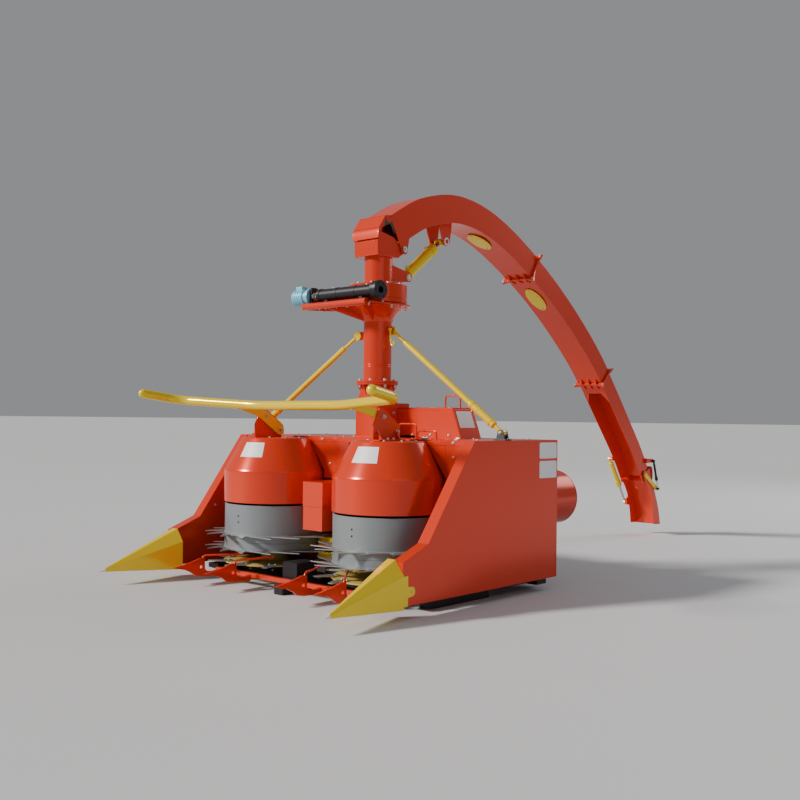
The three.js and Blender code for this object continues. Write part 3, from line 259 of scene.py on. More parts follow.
# ---------------------------------------------------------------- mesh code
class Piece:
    """Closed shells collected in one mesh, each with its own finish, riding on one body of the frame."""

    def __init__(self, name, body, *finishes):
        self.name = name
        self.body = body
        self.finishes = finishes
        self.mesh = bmesh.new()

    def shell(self, vertices, faces, finish=0, edge=0.0, segments=2):
        """Adds one shell; edge is how far its sharp corners are rounded."""
        part = bmesh.new()
        points = [part.verts.new(v) for v in vertices]
        for face in faces:
            part.faces.new([points[i] for i in face])
        bmesh.ops.recalc_face_normals(part, faces=part.faces)
        if edge:
            sharp = [e for e in part.edges if e.calc_face_angle(0.0) > SHARP]
            bmesh.ops.bevel(part, geom=sharp, offset=edge, segments=segments, profile=0.65, affect="EDGES",
                            clamp_overlap=True)
        for face in part.faces:
            face.material_index = finish
        scrap = bpy.data.meshes.new("scrap")
        part.to_mesh(scrap)
        part.free()
        self.mesh.from_mesh(scrap)
        bpy.data.meshes.remove(scrap)

    def skin(self, rings, finish=0, edge=0.0):
        """Joins rings of the same number of points, one after another, and closes both ends."""
        count = len(rings[0])
        vertices = [point for ring in rings for point in ring]
        faces = [tuple(range(count)), tuple(range(len(vertices) - count, len(vertices)))]
        for r in range(len(rings) - 1):
            for i in range(count):
                j = (i + 1) % count
                faces.append((r * count + i, r * count + j, (r + 1) * count + j, (r + 1) * count + i))
        self.shell(vertices, faces, finish, edge)

    def prism(self, outline, matrix, depth, finish=0, edge=0.8 * MM, hole=None):
        """A flat outline, which may have a hole, pushed along the matrix's Z."""
        if hole is None:
            rings = [[matrix @ Vector((u, v, w)) for u, v in outline] for w in (0.0, depth)]
            self.skin(rings, finish, edge)
            return
        loops = (outline, hole)
        vertices = [matrix @ Vector((u, v, w)) for w in (0.0, depth) for loop in loops for u, v in loop]
        total = len(outline) + len(hole)
        faces = []
        for first, loop in ((0, outline), (len(outline), hole)):
            for i in range(len(loop)):
                a, b = first + i, first + (i + 1) % len(loop)
                faces.append((a, b, b + total, a + total))
        for corners in tessellate_polygon([[Vector((u, v, 0)) for u, v in loop] for loop in loops]):
            faces += [tuple(corners), tuple(i + total for i in corners)]
        self.shell(vertices, faces, finish, edge)

    def side_plate(self, outline, side, inner, thick, finish=0, edge=0.8 * MM, hole=None):
        """An outline of (y, z) as a plate on one side, whose near face is that far from the middle."""
        start = inner if side > 0 else -inner - thick
        self.prism(outline, across_x(start), thick, finish, edge, hole)

    def sheet(self, outline, half, edge):
        """An outline of (y, z) as a sheet across the middle."""
        self.prism(outline, across_x(-half), 2 * half, 0, edge)

    def block(self, low, high, finish=0, edge=0.8 * MM):
        (x0, y0, z0), (x1, y1, z1) = low, high
        outline = [(x0, y0), (x1, y0), (x1, y1), (x0, y1)]
        self.prism(outline, Matrix.Translation((0, 0, z0)), z1 - z0, finish, edge)

    def lathe(self, profile, matrix, sides=64, finish=0, edge=0.0):
        """A profile of (radius, z) turned round the matrix's Z; it ends on the axis or closes on itself."""
        on_axis = profile[0][0] < 1e-6
        rings = []
        vertices = []
        for radius, z in profile:
            if radius < 1e-6:
                rings.append([len(vertices)])
                vertices.append(matrix @ Vector((0, 0, z)))
            else:
                rings.append(list(range(len(vertices), len(vertices) + sides)))
                for i in range(sides):
                    vertices.append(matrix @ polar(radius, 2 * math.pi * i / sides, z))
        faces = []
        steps = list(zip(rings, rings[1:])) + ([] if on_axis else [(rings[-1], rings[0])])
        for a, b in steps:
            for i in range(sides):
                j = (i + 1) % sides
                corners = [a[i % len(a)], a[j % len(a)], b[j % len(b)], b[i % len(b)]]
                face = list(dict.fromkeys(corners))
                if len(face) > 2:
                    faces.append(face)
        self.shell(vertices, faces, finish, edge)

    def rod(self, start, end, radius, finish=0, end_radius=None, sides=32, edge=0.0, bore=0.0):
        """A round bar or tube between two points, with its rims rounded."""
        far = radius if end_radius is None else end_radius
        length = (end - start).length
        rim = min(0.18 * min(radius, far), 1.5 * MM, length / 4) if edge == 0.0 else edge
        outside = [(radius - rim, 0), (radius, rim), (far, length - rim), (far - rim, length)]
        profile = [(0, 0), *outside, (0, length)] if not bore else [*outside, (bore, length), (bore, 0)]
        self.lathe(profile, pointing(start, end - start), sides, finish)

    def tube(self, points, radius, finish=0, sides=20, dome=True):
        """A bent round bar along points that already follow its bends."""
        path = [Vector(p) for p in points]
        rings = []
        side = None
        for i, point in enumerate(path):
            along = (path[min(i + 1, len(path) - 1)] - path[max(i - 1, 0)]).normalized()
            if side is None:
                side = along.orthogonal().normalized()
            side = (side - along * side.dot(along)).normalized()
            rings.append((point, along, side))
        if dome:
            rings = domed(rings, radius)
        else:
            rings = [(*ring, radius) for ring in rings]
        vertices = []
        for point, along, side, size in rings:
            other = along.cross(side)
            for i in range(sides):
                angle = 2 * math.pi * i / sides
                vertices.append(point + (side * math.cos(angle) + other * math.sin(angle)) * size)
        faces = [tuple(range(sides)), tuple(range(len(vertices) - sides, len(vertices)))]
        for r in range(len(rings) - 1):
            for i in range(sides):
                j = (i + 1) % sides
                faces.append((r * sides + i, r * sides + j, (r + 1) * sides + j, (r + 1) * sides + i))
        self.shell(vertices, faces, finish)

    def bolt(self, at, along, size=8 * MM, finish=0, nut=False, stud=0.0):
        """A hexagon head on a washer, standing on a face; size is the thread."""
        matrix = pointing(at, along)
        self.lathe([(0, 0), (1.05 * size, 0), (1.05 * size, 0.16 * size), (0.98 * size, 0.2 * size),
                    (0, 0.2 * size)], matrix, 24, finish)
        across = 0.85 * size
        head = [(across * math.cos(a), across * math.sin(a)) for a in (i * math.pi / 3 for i in range(6))]
        self.prism(head, matrix @ Matrix.Translation((0, 0, 0.2 * size)), 0.68 * size, finish, 0.07 * size)
        if nut:
            top = 0.88 * size + max(stud, 0.35 * size)
            self.lathe([(0, 0.8 * size), (0.5 * size, 0.8 * size), (0.5 * size, top - 0.1 * size),
                        (0.4 * size, top), (0, top)], matrix, 16, finish)

    def bolts(self, xs, ys, zs, *how, **nut):
        """The same bolt at each place of a grid; each of x, y and z is one number or several."""
        for at in product(*(v if isinstance(v, tuple) else (v,) for v in (xs, ys, zs))):
            self.bolt(place(*at), *how, **nut)

    def weld(self, points, size=2.2 * MM, finish=0):
        """A thin bead."""
        self.tube(stepped(points, 2.5 * size), size, finish, 8)

    def seam(self, start, end, size=2.2 * MM):
        """A straight bead between two places."""
        self.weld([place(*start), place(*end)], size)

    def unattached(self):
        """Makes the object, smooth shaded up to a crease angle, riding on nothing."""
        data = bpy.data.meshes.new(self.name)
        self.mesh.to_mesh(data)
        self.mesh.free()
        for name in self.finishes:
            data.materials.append(bpy.data.materials[name])
        data.shade_smooth()
        data.set_sharp_from_angle(angle=CREASE)
        thing = bpy.data.objects.new(self.name, data)
        bpy.context.scene.collection.objects.link(thing)
        weighted = thing.modifiers.new("even faces", "WEIGHTED_NORMAL")
        weighted.keep_sharp = True
        return thing

    def done(self, extra=False):
        """Hangs the object on its body, in place of the frame's solid of its name unless it is an extra."""
        thing = self.unattached()
        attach(thing, self.body)
        if not extra:
            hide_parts(self.name)


def pointing(at, along):
    """A matrix at a point whose Z is a direction."""
    return Matrix.Translation(at) @ Vector(along).to_track_quat("Z", "Y").to_matrix().to_4x4()


def domed(rings, radius):
    """Rings of a bar with both ends closed by half a ball."""
    caps = [(math.cos(a), math.sin(a)) for a in (math.radians(d) for d in (12, 35, 58, 78))]
    (first, along, side), (last, end_along, end_side) = rings[0], rings[-1]
    start = [(first - along * radius * (s - 1), along, side, radius * c) for c, s in reversed(caps)]
    body = [(*ring, radius) for ring in rings[1:-1]]
    end = [(last + end_along * radius * (s - 1), end_along, end_side, radius * c) for c, s in caps]
    return start + [(first + along * radius, along, side, radius)] + body + [
        (last - end_along * radius, end_along, end_side, radius)] + end


def stepped(points, step):
    """The same polyline with a point about every step."""
    path = [Vector(p) for p in points]
    out = [path[0]]
    for a, b in zip(path, path[1:]):
        count = max(1, round((b - a).length / step))
        out += [a.lerp(b, (i + 1) / count) for i in range(count)]
    return out


def rounded_path(points, bend, steps=8):
    """A polyline whose corners follow arcs that start a bend's length from each corner."""
    path = [Vector(p) for p in points]
    out = [path[0]]
    for before, corner, after in zip(path, path[1:], path[2:]):
        reach = min(bend, (corner - before).length * 0.48, (after - corner).length * 0.48)
        start = corner + (before - corner).normalized() * reach
        end = corner + (after - corner).normalized() * reach
        for i in range(steps + 1):
            t = i / steps
            out.append(start * (1 - t) ** 2 + corner * 2 * t * (1 - t) + end * t ** 2)
    return out + [path[-1]]


def circle(radius, count, centre=(0.0, 0.0), start=0.0):
    return [(centre[0] + radius * math.cos(start + 2 * math.pi * i / count),
             centre[1] + radius * math.sin(start + 2 * math.pi * i / count)) for i in range(count)]


def arc(radius, first, last, count, centre=(0.0, 0.0)):
    """Points of an arc between two angles in degrees."""
    angles = [math.radians(first + (last - first) * i / count) for i in range(count + 1)]
    return [(centre[0] + radius * math.cos(a), centre[1] + radius * math.sin(a)) for a in angles]


def upright(x, y=0.0):
    """A matrix standing on the ground, its Z up."""
    return Matrix.Translation(place(x, y, 0))


def across_x(x):
    """A matrix for outlines of (y, z) from the rotor line, pushed towards +X from x."""
    return Matrix(((0, 0, 1, x), (1, 0, 0, ROTOR_LINE), (0, 1, 0, 0), (0, 0, 0, 1)))


def across_y(y):
    """A matrix for outlines of (z, x), pushed rearwards from y."""
    return Matrix(((0, 1, 0, 0), (0, 0, 1, ROTOR_LINE + y), (1, 0, 0, 0), (0, 0, 0, 1)))


def across_z(z, x=0.0, y=0.0):
    """A matrix for outlines of (x, y) about a point, pushed up from z."""
    return Matrix.Translation((x, ROTOR_LINE + y, z))


# ---------------------------------------------------------------- spout geometry
class SpoutLine:
    """Side view of the spout: one smooth outer wall, and a duct that grows shallower along it."""

    knots = ((0.325, 1.877), (0.586, 2.016), (0.929, 2.079), (1.335, 1.992), (1.87, 1.713), (2.38, 1.328),
             (2.8, 0.88), (3.1, 0.505), (3.284, 0.079))
    depth_start = 0.162
    depth_end = 0.108
    samples = 400

    def __init__(self):
        points = [self._on_knots(i / self.samples) for i in range(self.samples + 1)]
        self.reached = [0.0]
        for a, b in zip(points, points[1:]):
            self.reached.append(self.reached[-1] + (b - a).length)
        self.points = points
        self.length = self.reached[-1]

    def _on_knots(self, t):
        last = len(self.knots) - 1
        place_on = last * t
        i = min(int(place_on), last - 1)
        w = place_on - i
        p0, p1, p2, p3 = (Vector(self.knots[min(max(i + k, 0), last)]) for k in (-1, 0, 1, 2))
        v0, v1 = (p2 - p0) * 0.5, (p3 - p1) * 0.5
        return (2 * p1 - 2 * p2 + v0 + v1) * w ** 3 + (3 * p2 - 3 * p1 - 2 * v0 - v1) * w ** 2 + v0 * w + p1

    def at(self, share):
        """Point and direction of the outer wall at a share of its length."""
        wanted = min(max(share, 0.0), 1.0) * self.length
        i = 1
        while i < self.samples and self.reached[i] < wanted:
            i += 1
        a, b = self.points[i - 1], self.points[i]
        rest = (wanted - self.reached[i - 1]) / (self.reached[i] - self.reached[i - 1])
        return a.lerp(b, rest), (b - a).normalized()

    def depth(self, share):
        return self.depth_start + (self.depth_end - self.depth_start) * share

    def inward(self, share, distance):
        """(y, z) of a point that far in from the outer wall."""
        point, along = self.at(share)
        return point.x + along.y * distance, point.y - along.x * distance

    def run(self, start, end, distance, steps):
        """Points along a line that keeps a distance, or a function of the share, from the outer wall."""
        shares = [start + (end - start) * i / steps for i in range(steps + 1)]
        return [self.inward(s, distance(s) if callable(distance) else distance) for s in shares]

    def frame(self, share, x=0.0):
        """A matrix at the outer wall: U is +X, V goes into the duct and W along it."""
        point, along = self.at(share)
        return Matrix(((1, 0, 0, x), (0, along.y, along.x, ROTOR_LINE + point.x),
                       (0, -along.x, along.y, point.y), (0, 0, 0, 1)))


SPOUT = SpoutLine()
FIRST_COLLAR = 0.372
SECOND_COLLAR = 0.655
OPEN_END = 0.9
ARCH_HALF = 0.0925
MIDDLE_HALF = 0.0905
END_HALF = 0.086
TILT_PIN = (0.437, 1.718)
TILT_LOW = (0.536, 1.587)
TILT_HIGH = (0.834, 1.821)
FLAP_PIN = (3.05, 0.448)


def gusset(piece, near, far):
    """A small triangular plate between two triangles."""
    piece.shell([*near, *far], [(0, 1, 2), (3, 4, 5), (0, 1, 4, 3), (1, 2, 5, 4), (2, 0, 3, 5)], 0,
                0.5 * MM)


def grab_handle(piece, x0, x1, y, foot, low, high, bend, radius, button, sides=20):
    """A bent rod that stands on two round feet."""
    path = [place(x, y, z) for x, z in ((x0, low), (x0, high), (x1, high), (x1, low))]
    piece.tube(rounded_path(path, bend), radius, 0, sides, dome=False)
    for x in (x0, x1):
        piece.lathe(button, pointing(place(x, y, foot), UP), 20)


def duct_walls(piece, start, end, half, wall, steps):
    """Two side sheets with an outer and an inner sheet between them, welded along their corners."""
    for _, side in SIDES:
        piece.side_plate(ribbon(start, end, 0.0, SPOUT.depth, steps), side, half - wall, wall, 0, 0.5 * MM)
    outer_and_inner(piece, start, start, end, half - wall, wall, steps)


def ribbon(start, end, top, bottom, steps):
    """Side view of a strip between two distances from the spout's outer wall."""
    return SPOUT.run(start, end, top, steps) + SPOUT.run(start, end, bottom, steps)[::-1]


def bead_along(piece, x, start, end, distance, steps):
    """A weld bead along the spout."""
    bead = [place(x, y, z) for y, z in SPOUT.run(start, end, distance, steps)]
    piece.tube(bead, 2 * MM, sides=8, dome=False)


def outer_and_inner(piece, start, inner_start, end, inner, wall, steps):
    """The duct's outer and inner sheets, which may start at different places, with a bead at each corner."""
    piece.sheet(ribbon(start, end, 0.0, wall, steps), inner, 0.4 * MM)
    piece.sheet(ribbon(inner_start, end, lambda s: SPOUT.depth(s) - wall, SPOUT.depth, steps), inner,
                0.4 * MM)
    for _, side in SIDES:
        bead_along(piece, side * inner, start, end, 1.2 * MM, steps)
        bead_along(piece, side * inner, inner_start, end, lambda s: SPOUT.depth(s) - 1.2 * MM, steps)


def collar(piece, share, half, forward, bolt, zinc):
    """Half of a bolted joint: a flat frame with pointed corner ears, its bolts and small gussets."""
    width, plate = 0.026, 8 * MM
    depth = SPOUT.depth(share)
    matrix = SPOUT.frame(share)
    waist = 0.5 * width
    wide = half + width
    outline = [(-wide, -width), (-half * 0.6, -waist), (half * 0.6, -waist), (wide, -width),
               (half + waist, depth * 0.22), (half + waist, depth * 0.78), (wide, depth + width),
               (half * 0.6, depth + waist), (-half * 0.6, depth + waist), (-wide, depth + width),
               (-half - waist, depth * 0.78), (-half - waist, depth * 0.22)]
    inside = 1 * MM
    hole = [(-half + inside, inside), (half - inside, inside), (half - inside, depth - inside),
            (inside - half, depth - inside)]
    start = 0.15 * MM if forward else -plate - 0.15 * MM
    piece.prism(outline, matrix @ Matrix.Translation((0, 0, start)), plate, edge=1.2 * MM, hole=hole)
    sign = 1 if forward else -1
    face = matrix @ Vector((0, 0, sign * plate)) - matrix @ Vector((0, 0, 0))
    ears = [(u, v) for u in (-half - 0.6 * width, half + 0.6 * width)
            for v in (-0.5 * width, depth + 0.5 * width)]
    for u, v in ears:
        piece.bolt(matrix @ Vector((u, v, sign * (plate + 0.15 * MM))), face, bolt, zinc, nut=not forward,
                   stud=0.5 * bolt)
    reach, half_web = 0.052, 3.5 * MM
    gussets = [(0.62 * k * half, 0.0, -1) for k in (-1, 1)]
    gussets += [(0.62 * k * half, depth, 1) for k in (-1, 0, 1)]
    for u, v, out in gussets:
        corners = [(0, sign * plate), (0, sign * reach), (out * 0.85 * width, sign * plate)]
        gusset(piece, *([matrix @ Vector((u + side, v + dv, w)) for dv, w in corners]
                        for side in (-half_web, half_web)))


# ---------------------------------------------------------------- sizes and colours
def length_property(name, description, default, low, high):
    """A length; its numbers are millimetres."""
    return bpy.props.FloatProperty(name=name, description=description, default=default * MM, min=low * MM,
                                   max=high * MM, subtype="DISTANCE", unit="LENGTH")


class HARVESTER_PG_sizes(bpy.types.PropertyGroup):
    """Sizes of the fittings that the frame leaves open."""

    bolt: length_property("Bolt", "Thread of the body's bolts", 10, 4, 16)
    small_bolt: length_property("Small bolt", "Thread of the light fittings' bolts", 6, 3, 10)
    rounding: length_property("Sheet rounding", "Radius of a folded sheet's edges", 2, 0.5, 4)
    spout_wall: length_property("Spout wall", "Thickness of the spout's sheets", 4, 2, 6)
    bar_radius: length_property("Push bar radius", "Radius of the yellow bar's tube", 23, 12, 23)
    teeth: bpy.props.IntProperty(name="Gathering teeth", description="Teeth round each ring of a rotor",
                                 default=16, min=8, max=24)
    knives: bpy.props.IntProperty(name="Knives", description="Knives on each cutter disc", default=10,
                                  min=4, max=16)


def colour_property(name, description, default):
    return bpy.props.FloatVectorProperty(name=name, description=description, default=default,
                                         subtype="COLOR", size=3, min=0.0, max=1.0)


class HARVESTER_PG_colours(bpy.types.PropertyGroup):
    """Colours of the paints and metals."""

    red: colour_property("Red", "Enamel of the sheet metal", (0.6, 0.022, 0.004))
    yellow: colour_property("Yellow", "Enamel of guards, bar and stays", (0.72, 0.46, 0.0))
    grey: colour_property("Grey", "Enamel of the rotor drums", (0.19, 0.215, 0.235))
    black: colour_property("Black", "Enamel of the worm housing and underframe", (0.012, 0.012, 0.014))
    blue: colour_property("Blue", "Enamel of the slewing motor", (0.16, 0.46, 0.6))
    steel: colour_property("Steel", "Knives and toothed rings", (0.52, 0.53, 0.54))
    floor: colour_property("Floor", "Studio floor", (0.56, 0.56, 0.57))


class Make:
    """What every operator shares."""

    bl_options = {"REGISTER", "UNDO"}

    @property
    def sizes(self):
        return bpy.context.scene.harvester_sizes


# ---------------------------------------------------------------- stage and finishes
KEPT_NODES = {
    "main_frame": "black_paint", "hitch_frame": "black_paint", "top_link_mast": "black_paint",
    "drive_gearbox": "black_paint", "pto_shaft": "bright_steel", "deck": "red_paint",
    "scraper_plates": "yellow_paint",
}


class HARVESTER_OT_finishes(Make, bpy.types.Operator):
    """Makes the paints and metals, and dresses the frame's own solids that stay in view."""

    bl_idname = "harvester.finishes"
    bl_label = "Finishes"

    def execute(self, context):
        colours = context.scene.harvester_colours
        paint("red_paint", colours.red, 0.22, 0.8, dust=0.1, chips=0.5)
        paint("yellow_paint", colours.yellow, 0.3, 0.25, dust=0.06, chips=0.45, dark=0.9)
        paint("grey_paint", colours.grey, 0.42, 0.25, dust=0.35, chips=0.8, rust=0.55)
        paint("black_paint", colours.black, 0.3, 0.5, dust=0.18, chips=0.4, dark=0.7)
        paint("motor_blue", colours.blue, 0.4, 0.3, dust=0.2, chips=0.4)
        paint("clevis_grey", (0.035, 0.045, 0.06), 0.42, 0.3, dust=0.2, chips=0.5)
        paint("worn_yellow", (0.62, 0.45, 0.05), 0.45, 0.15, dust=0.6, chips=1.0, rust=0.5)
        steel("knife_steel", colours.steel, 0.36, (1.0, 1.0, 6.0), tarnish=0.5)
        steel("bright_steel", (0.7, 0.7, 0.69), 0.24, (1.0, 1.0, 1.0), tarnish=0.12)
        steel("zinc", (0.6, 0.6, 0.56), 0.36, tarnish=0.25)
        sheet_label("label", (0.8, 0.8, 0.82))
        # Near-black finish of the sheets painted as shade in the spout visor's gap.
        gap_shade_finish("dark_seal")
        floor_finish("floor", colours.floor)
        for node, material in KEPT_NODES.items():
            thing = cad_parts[node]
            thing.data.materials.clear()
            thing.data.materials.append(bpy.data.materials[material])
        return {"FINISHED"}


class HARVESTER_OT_stage(Make, bpy.types.Operator):
    """Sets the floor, the soft lights and the camera."""

    bl_idname = "harvester.stage"
    bl_label = "Stage"
    sky, sky_strength = (0.8, 0.82, 0.86, 1.0), 0.34
    # name, kind, place, height it is aimed at over the middle, settings
    lights = (
        ("key", "SUN", (-4.4, -6.6, 5.3), 0.7,
         {"energy": 5.0, "angle": math.radians(9), "color": (1.0, 0.965, 0.91)}),
        ("fill", "AREA", (6.5, -3.5, 3.2), 0.8, {"energy": 30, "size": 5.0, "color": (0.93, 0.96, 1.0)}),
        ("back", "AREA", (2.0, 7.5, 5.0), 1.0, {"energy": 170, "size": 4.0, "color": (1.0, 1.0, 1.0)}),
    )
    lens, camera_at = 43.98, (3.498, -4.6085, 0.833)
    # azimuth, elevation and roll in degrees
    camera_angles = (42.063, -1.088, 0.647)

    def execute(self, context):
        scene = context.scene
        floor = Piece("studio_floor", None, "floor")
        floor.block((-FLOOR_HALF, -FLOOR_HALF, -0.02), (FLOOR_HALF, FLOOR_HALF, 0), edge=0)
        floor.unattached()
        world = bpy.data.worlds.new("studio")
        world.use_nodes = True
        background = world.node_tree.nodes["Background"]
        background.inputs["Color"].default_value = self.sky
        background.inputs["Strength"].default_value = self.sky_strength
        scene.world = world
        for name, kind, at, aim, settings in self.lights:
            lamp = bpy.data.objects.new(name, bpy.data.lights.new(name, kind))
            for setting, value in settings.items():
                setattr(lamp.data, setting, value)
            lamp.matrix_world = pointing(at, Vector(at) - Vector((0, 0, aim)))
            scene.collection.objects.link(lamp)
        data = bpy.data.cameras.new("camera")
        data.lens = self.lens
        data.sensor_width = 36.0
        camera = bpy.data.objects.new("camera", data)
        azimuth, elevation, roll = (math.radians(a) for a in self.camera_angles)
        turn = Matrix.Rotation(azimuth, 4, "Z") @ Matrix.Rotation(math.pi / 2 - elevation, 4, "X")
        camera.matrix_world = Matrix.Translation(self.camera_at) @ turn @ Matrix.Rotation(roll, 4, "Z")
        scene.collection.objects.link(camera)
        scene.camera = camera
        return {"FINISHED"}


# ---------------------------------------------------------------- sheet-metal body
PANEL = ((-0.367, 0.06), (0.776, 0.06), (0.776, DECK_TOP), (0.106, DECK_TOP), (-0.207, 0.305),
         (-0.367, 0.242))
PANEL_X = 0.825
RIM = 0.06


def drawn_in(points, distance):
    """The same outline with each edge moved inwards."""
    out = []
    for before, here, after in zip(points[-1:] + points[:-1], points, points[1:] + points[:1]):
        first = (Vector(here) - Vector(before)).normalized()
        second = (Vector(after) - Vector(here)).normalized()
        step = distance / (1 + first.dot(second))
        out.append((here[0] - (first.y + second.y) * step, here[1] + (first.x + second.x) * step))
    return out


class HARVESTER_OT_side_panels(Make, bpy.types.Operator):
    """Folds the two side panels and sticks their blank labels on."""

    bl_idname = "harvester.side_panels"
    bl_label = "Side panels"

    def execute(self, context):
        outline = list(PANEL)
        sheet = 5 * MM
        inside = drawn_in(outline, sheet)
        for label, side in SIDES:
            piece = Piece(f"side_panel_{label}", "frame", "red_paint", "label", "zinc")
            loops = [(outline, PANEL_X), (outline, PANEL_X - RIM), (inside, PANEL_X - RIM),
                     (inside, PANEL_X - sheet)]
            piece.skin([[place(side * x, y, z) for y, z in loop] for loop, x in loops], 0,
                       self.sizes.rounding)
            for low, high in ((0.646, 0.724), (0.551, 0.634)):
                patch = rounded_box(0.618, low, 0.766, high, 8 * MM)
                piece.side_plate(patch, side, PANEL_X + 0.1 * MM, 0.6 * MM, 1, 0)
            for y, z in ((-0.145, 0.36), (-0.02, 0.53), (0.08, 0.67)):
                piece.bolt(place(side * (PANEL_X - RIM), y + 0.035, z), (-side, 0, 0),
                           self.sizes.small_bolt, 2)
            brace = mm((200, 100), (260, 100), (260, 700), (200, 700))
            piece.side_plate(brace, side, PANEL_X - 0.028, 0.023, 0, 1.5 * MM)
            bead_x = side * (PANEL_X - RIM + 1.5 * MM)
            for first, last in zip(inside, inside[1:]):
                piece.seam((bead_x, *first), (bead_x, *last), 1.6 * MM)
            piece.done()
        return {"FINISHED"}


def rounded_box(u0, v0, u1, v1, radius, steps=5):
    """A rectangle with round corners."""
    corners = ((u1 - radius, v1 - radius, 0), (u0 + radius, v1 - radius, 90),
               (u0 + radius, v0 + radius, 180), (u1 - radius, v0 + radius, 270))
    return [point for u, v, turn in corners for point in arc(radius, turn, turn + 90, steps, (u, v))]


class HARVESTER_OT_divider_cones(Make, bpy.types.Operator):
    """Folds the yellow crop dividers, with pale tips and a bolted tab."""

    bl_idname = "harvester.divider_cones"
    bl_label = "Divider cones"

    def execute(self, context):
        inner, outer, bottom, shoulder, top = 0.69, 0.832, 0.048, 0.19, 0.252
        crest = (inner + outer) / 2
        tip_x, tip_y, tip_z, base_y = 0.7956, -0.785, 0.067, -0.3673
        ring = [(inner, bottom), (outer, bottom), (outer, shoulder), (crest + 0.022, top),
                (crest - 0.022, top), (inner, shoulder)]

        def section(side, y, shrink=0.0):
            share = (y - base_y) / (tip_y - base_y)
            return [place(side * (crest + (tip_x - crest) * share + (x - crest) * (1 - share - shrink)), y,
                          0.14 + (tip_z - 0.14) * share + (z - 0.14) * (1 - share - shrink))
                    for x, z in ring]

        for label, side in SIDES:
            piece = Piece(f"divider_cone_{label}", "frame", "yellow_paint", "label", "zinc")
            cap_y = tip_y + 0.034
            piece.skin([section(side, cap_y + 0.02, 0.03), section(side, base_y - 0.002, 0.055),
                        section(side, base_y), section(side, cap_y)], 0, 1.6 * MM)
            piece.skin([section(side, cap_y), section(side, tip_y + 3 * MM)], 1, 0.6 * MM)
            tab = [(base_y - 0.005, 0.06), (-0.338, 0.06), (-0.338, 0.096),
                   *arc(0.022, -60, 60, 8, (-0.316, 0.119)), (-0.338, 0.142), (-0.338, 0.186),
                   (base_y - 0.005, 0.186)]
            piece.side_plate(tab, side, PANEL_X + 0.3 * MM, 3.7 * MM)
            piece.bolt(place(side * 0.8285, -0.314, 0.119), (side, 0, 0), 4 * MM, 2)
            for z in (0.085, 0.165):
                piece.seam((side * 0.8255, base_y + 0.001, z - 0.02),
                           (side * 0.8255, base_y + 0.001, z + 0.02), 1.6 * MM)
            piece.done()
        return {"FINISHED"}


class HARVESTER_OT_back_wall(Make, bpy.types.Operator):
    """Rolls the wall behind the rotors and boxes the middle between them."""

    bl_idname = "harvester.back_wall"
    bl_label = "Back wall"

    def execute(self, context):
        radius, sheet, low, high, throat_half, throat_top = 0.38, 5 * MM, 0.1, 0.7117, 0.182, 0.42
        piece = Piece("back_wall", "frame", "red_paint", "zinc")
        split = math.degrees(math.acos((throat_half - ROTOR_X) / radius))
        for first, last, bottom in ((20, split, low), (split, 165, throat_top)):
            steps = max(4, round((last - first) / 3))
            outline = arc(radius + sheet, first, last, steps) + arc(radius, last, first, steps)
            for _, side in SIDES:
                points = [(side * (ROTOR_X + x), y) for x, y in outline]
                piece.prism(points, across_z(bottom), high - bottom, 0, 0.6 * MM)
        web_half = ROTOR_X - radius * math.cos(math.radians(15)) + 4 * MM
        web_y = radius * math.sin(math.radians(15))
        piece.block(place(-web_half, web_y - 2 * MM, throat_top), place(web_half, web_y + 5 * MM, high))
        for _, side in SIDES:
            for z in (0.45, 0.53, 0.61, 0.69):
                angle = math.radians(150)
                at = place(side * (ROTOR_X + radius * math.cos(angle)), radius * math.sin(angle), z)
                piece.bolt(at, (-side * math.cos(angle), -math.sin(angle), 0), self.sizes.small_bolt, 1)
        piece.done()
        box = Piece("centre_divider", "frame", "red_paint")
        front, rear, bottom, top, half = -0.11, 0.0961, 0.284, 0.52, 0.07
        box.block(place(-half, front, bottom + 0.118), place(half, rear, top), edge=3 * MM)
        box.block(place(2 * MM - half, front + 2 * MM, bottom), place(half - 2 * MM, 0.158, bottom + 0.118),
                  edge=2 * MM)
        box.seam((-half, front, bottom + 0.118), (half, front, bottom + 0.118), 1.8 * MM)
        box.done()
        return {"FINISHED"}


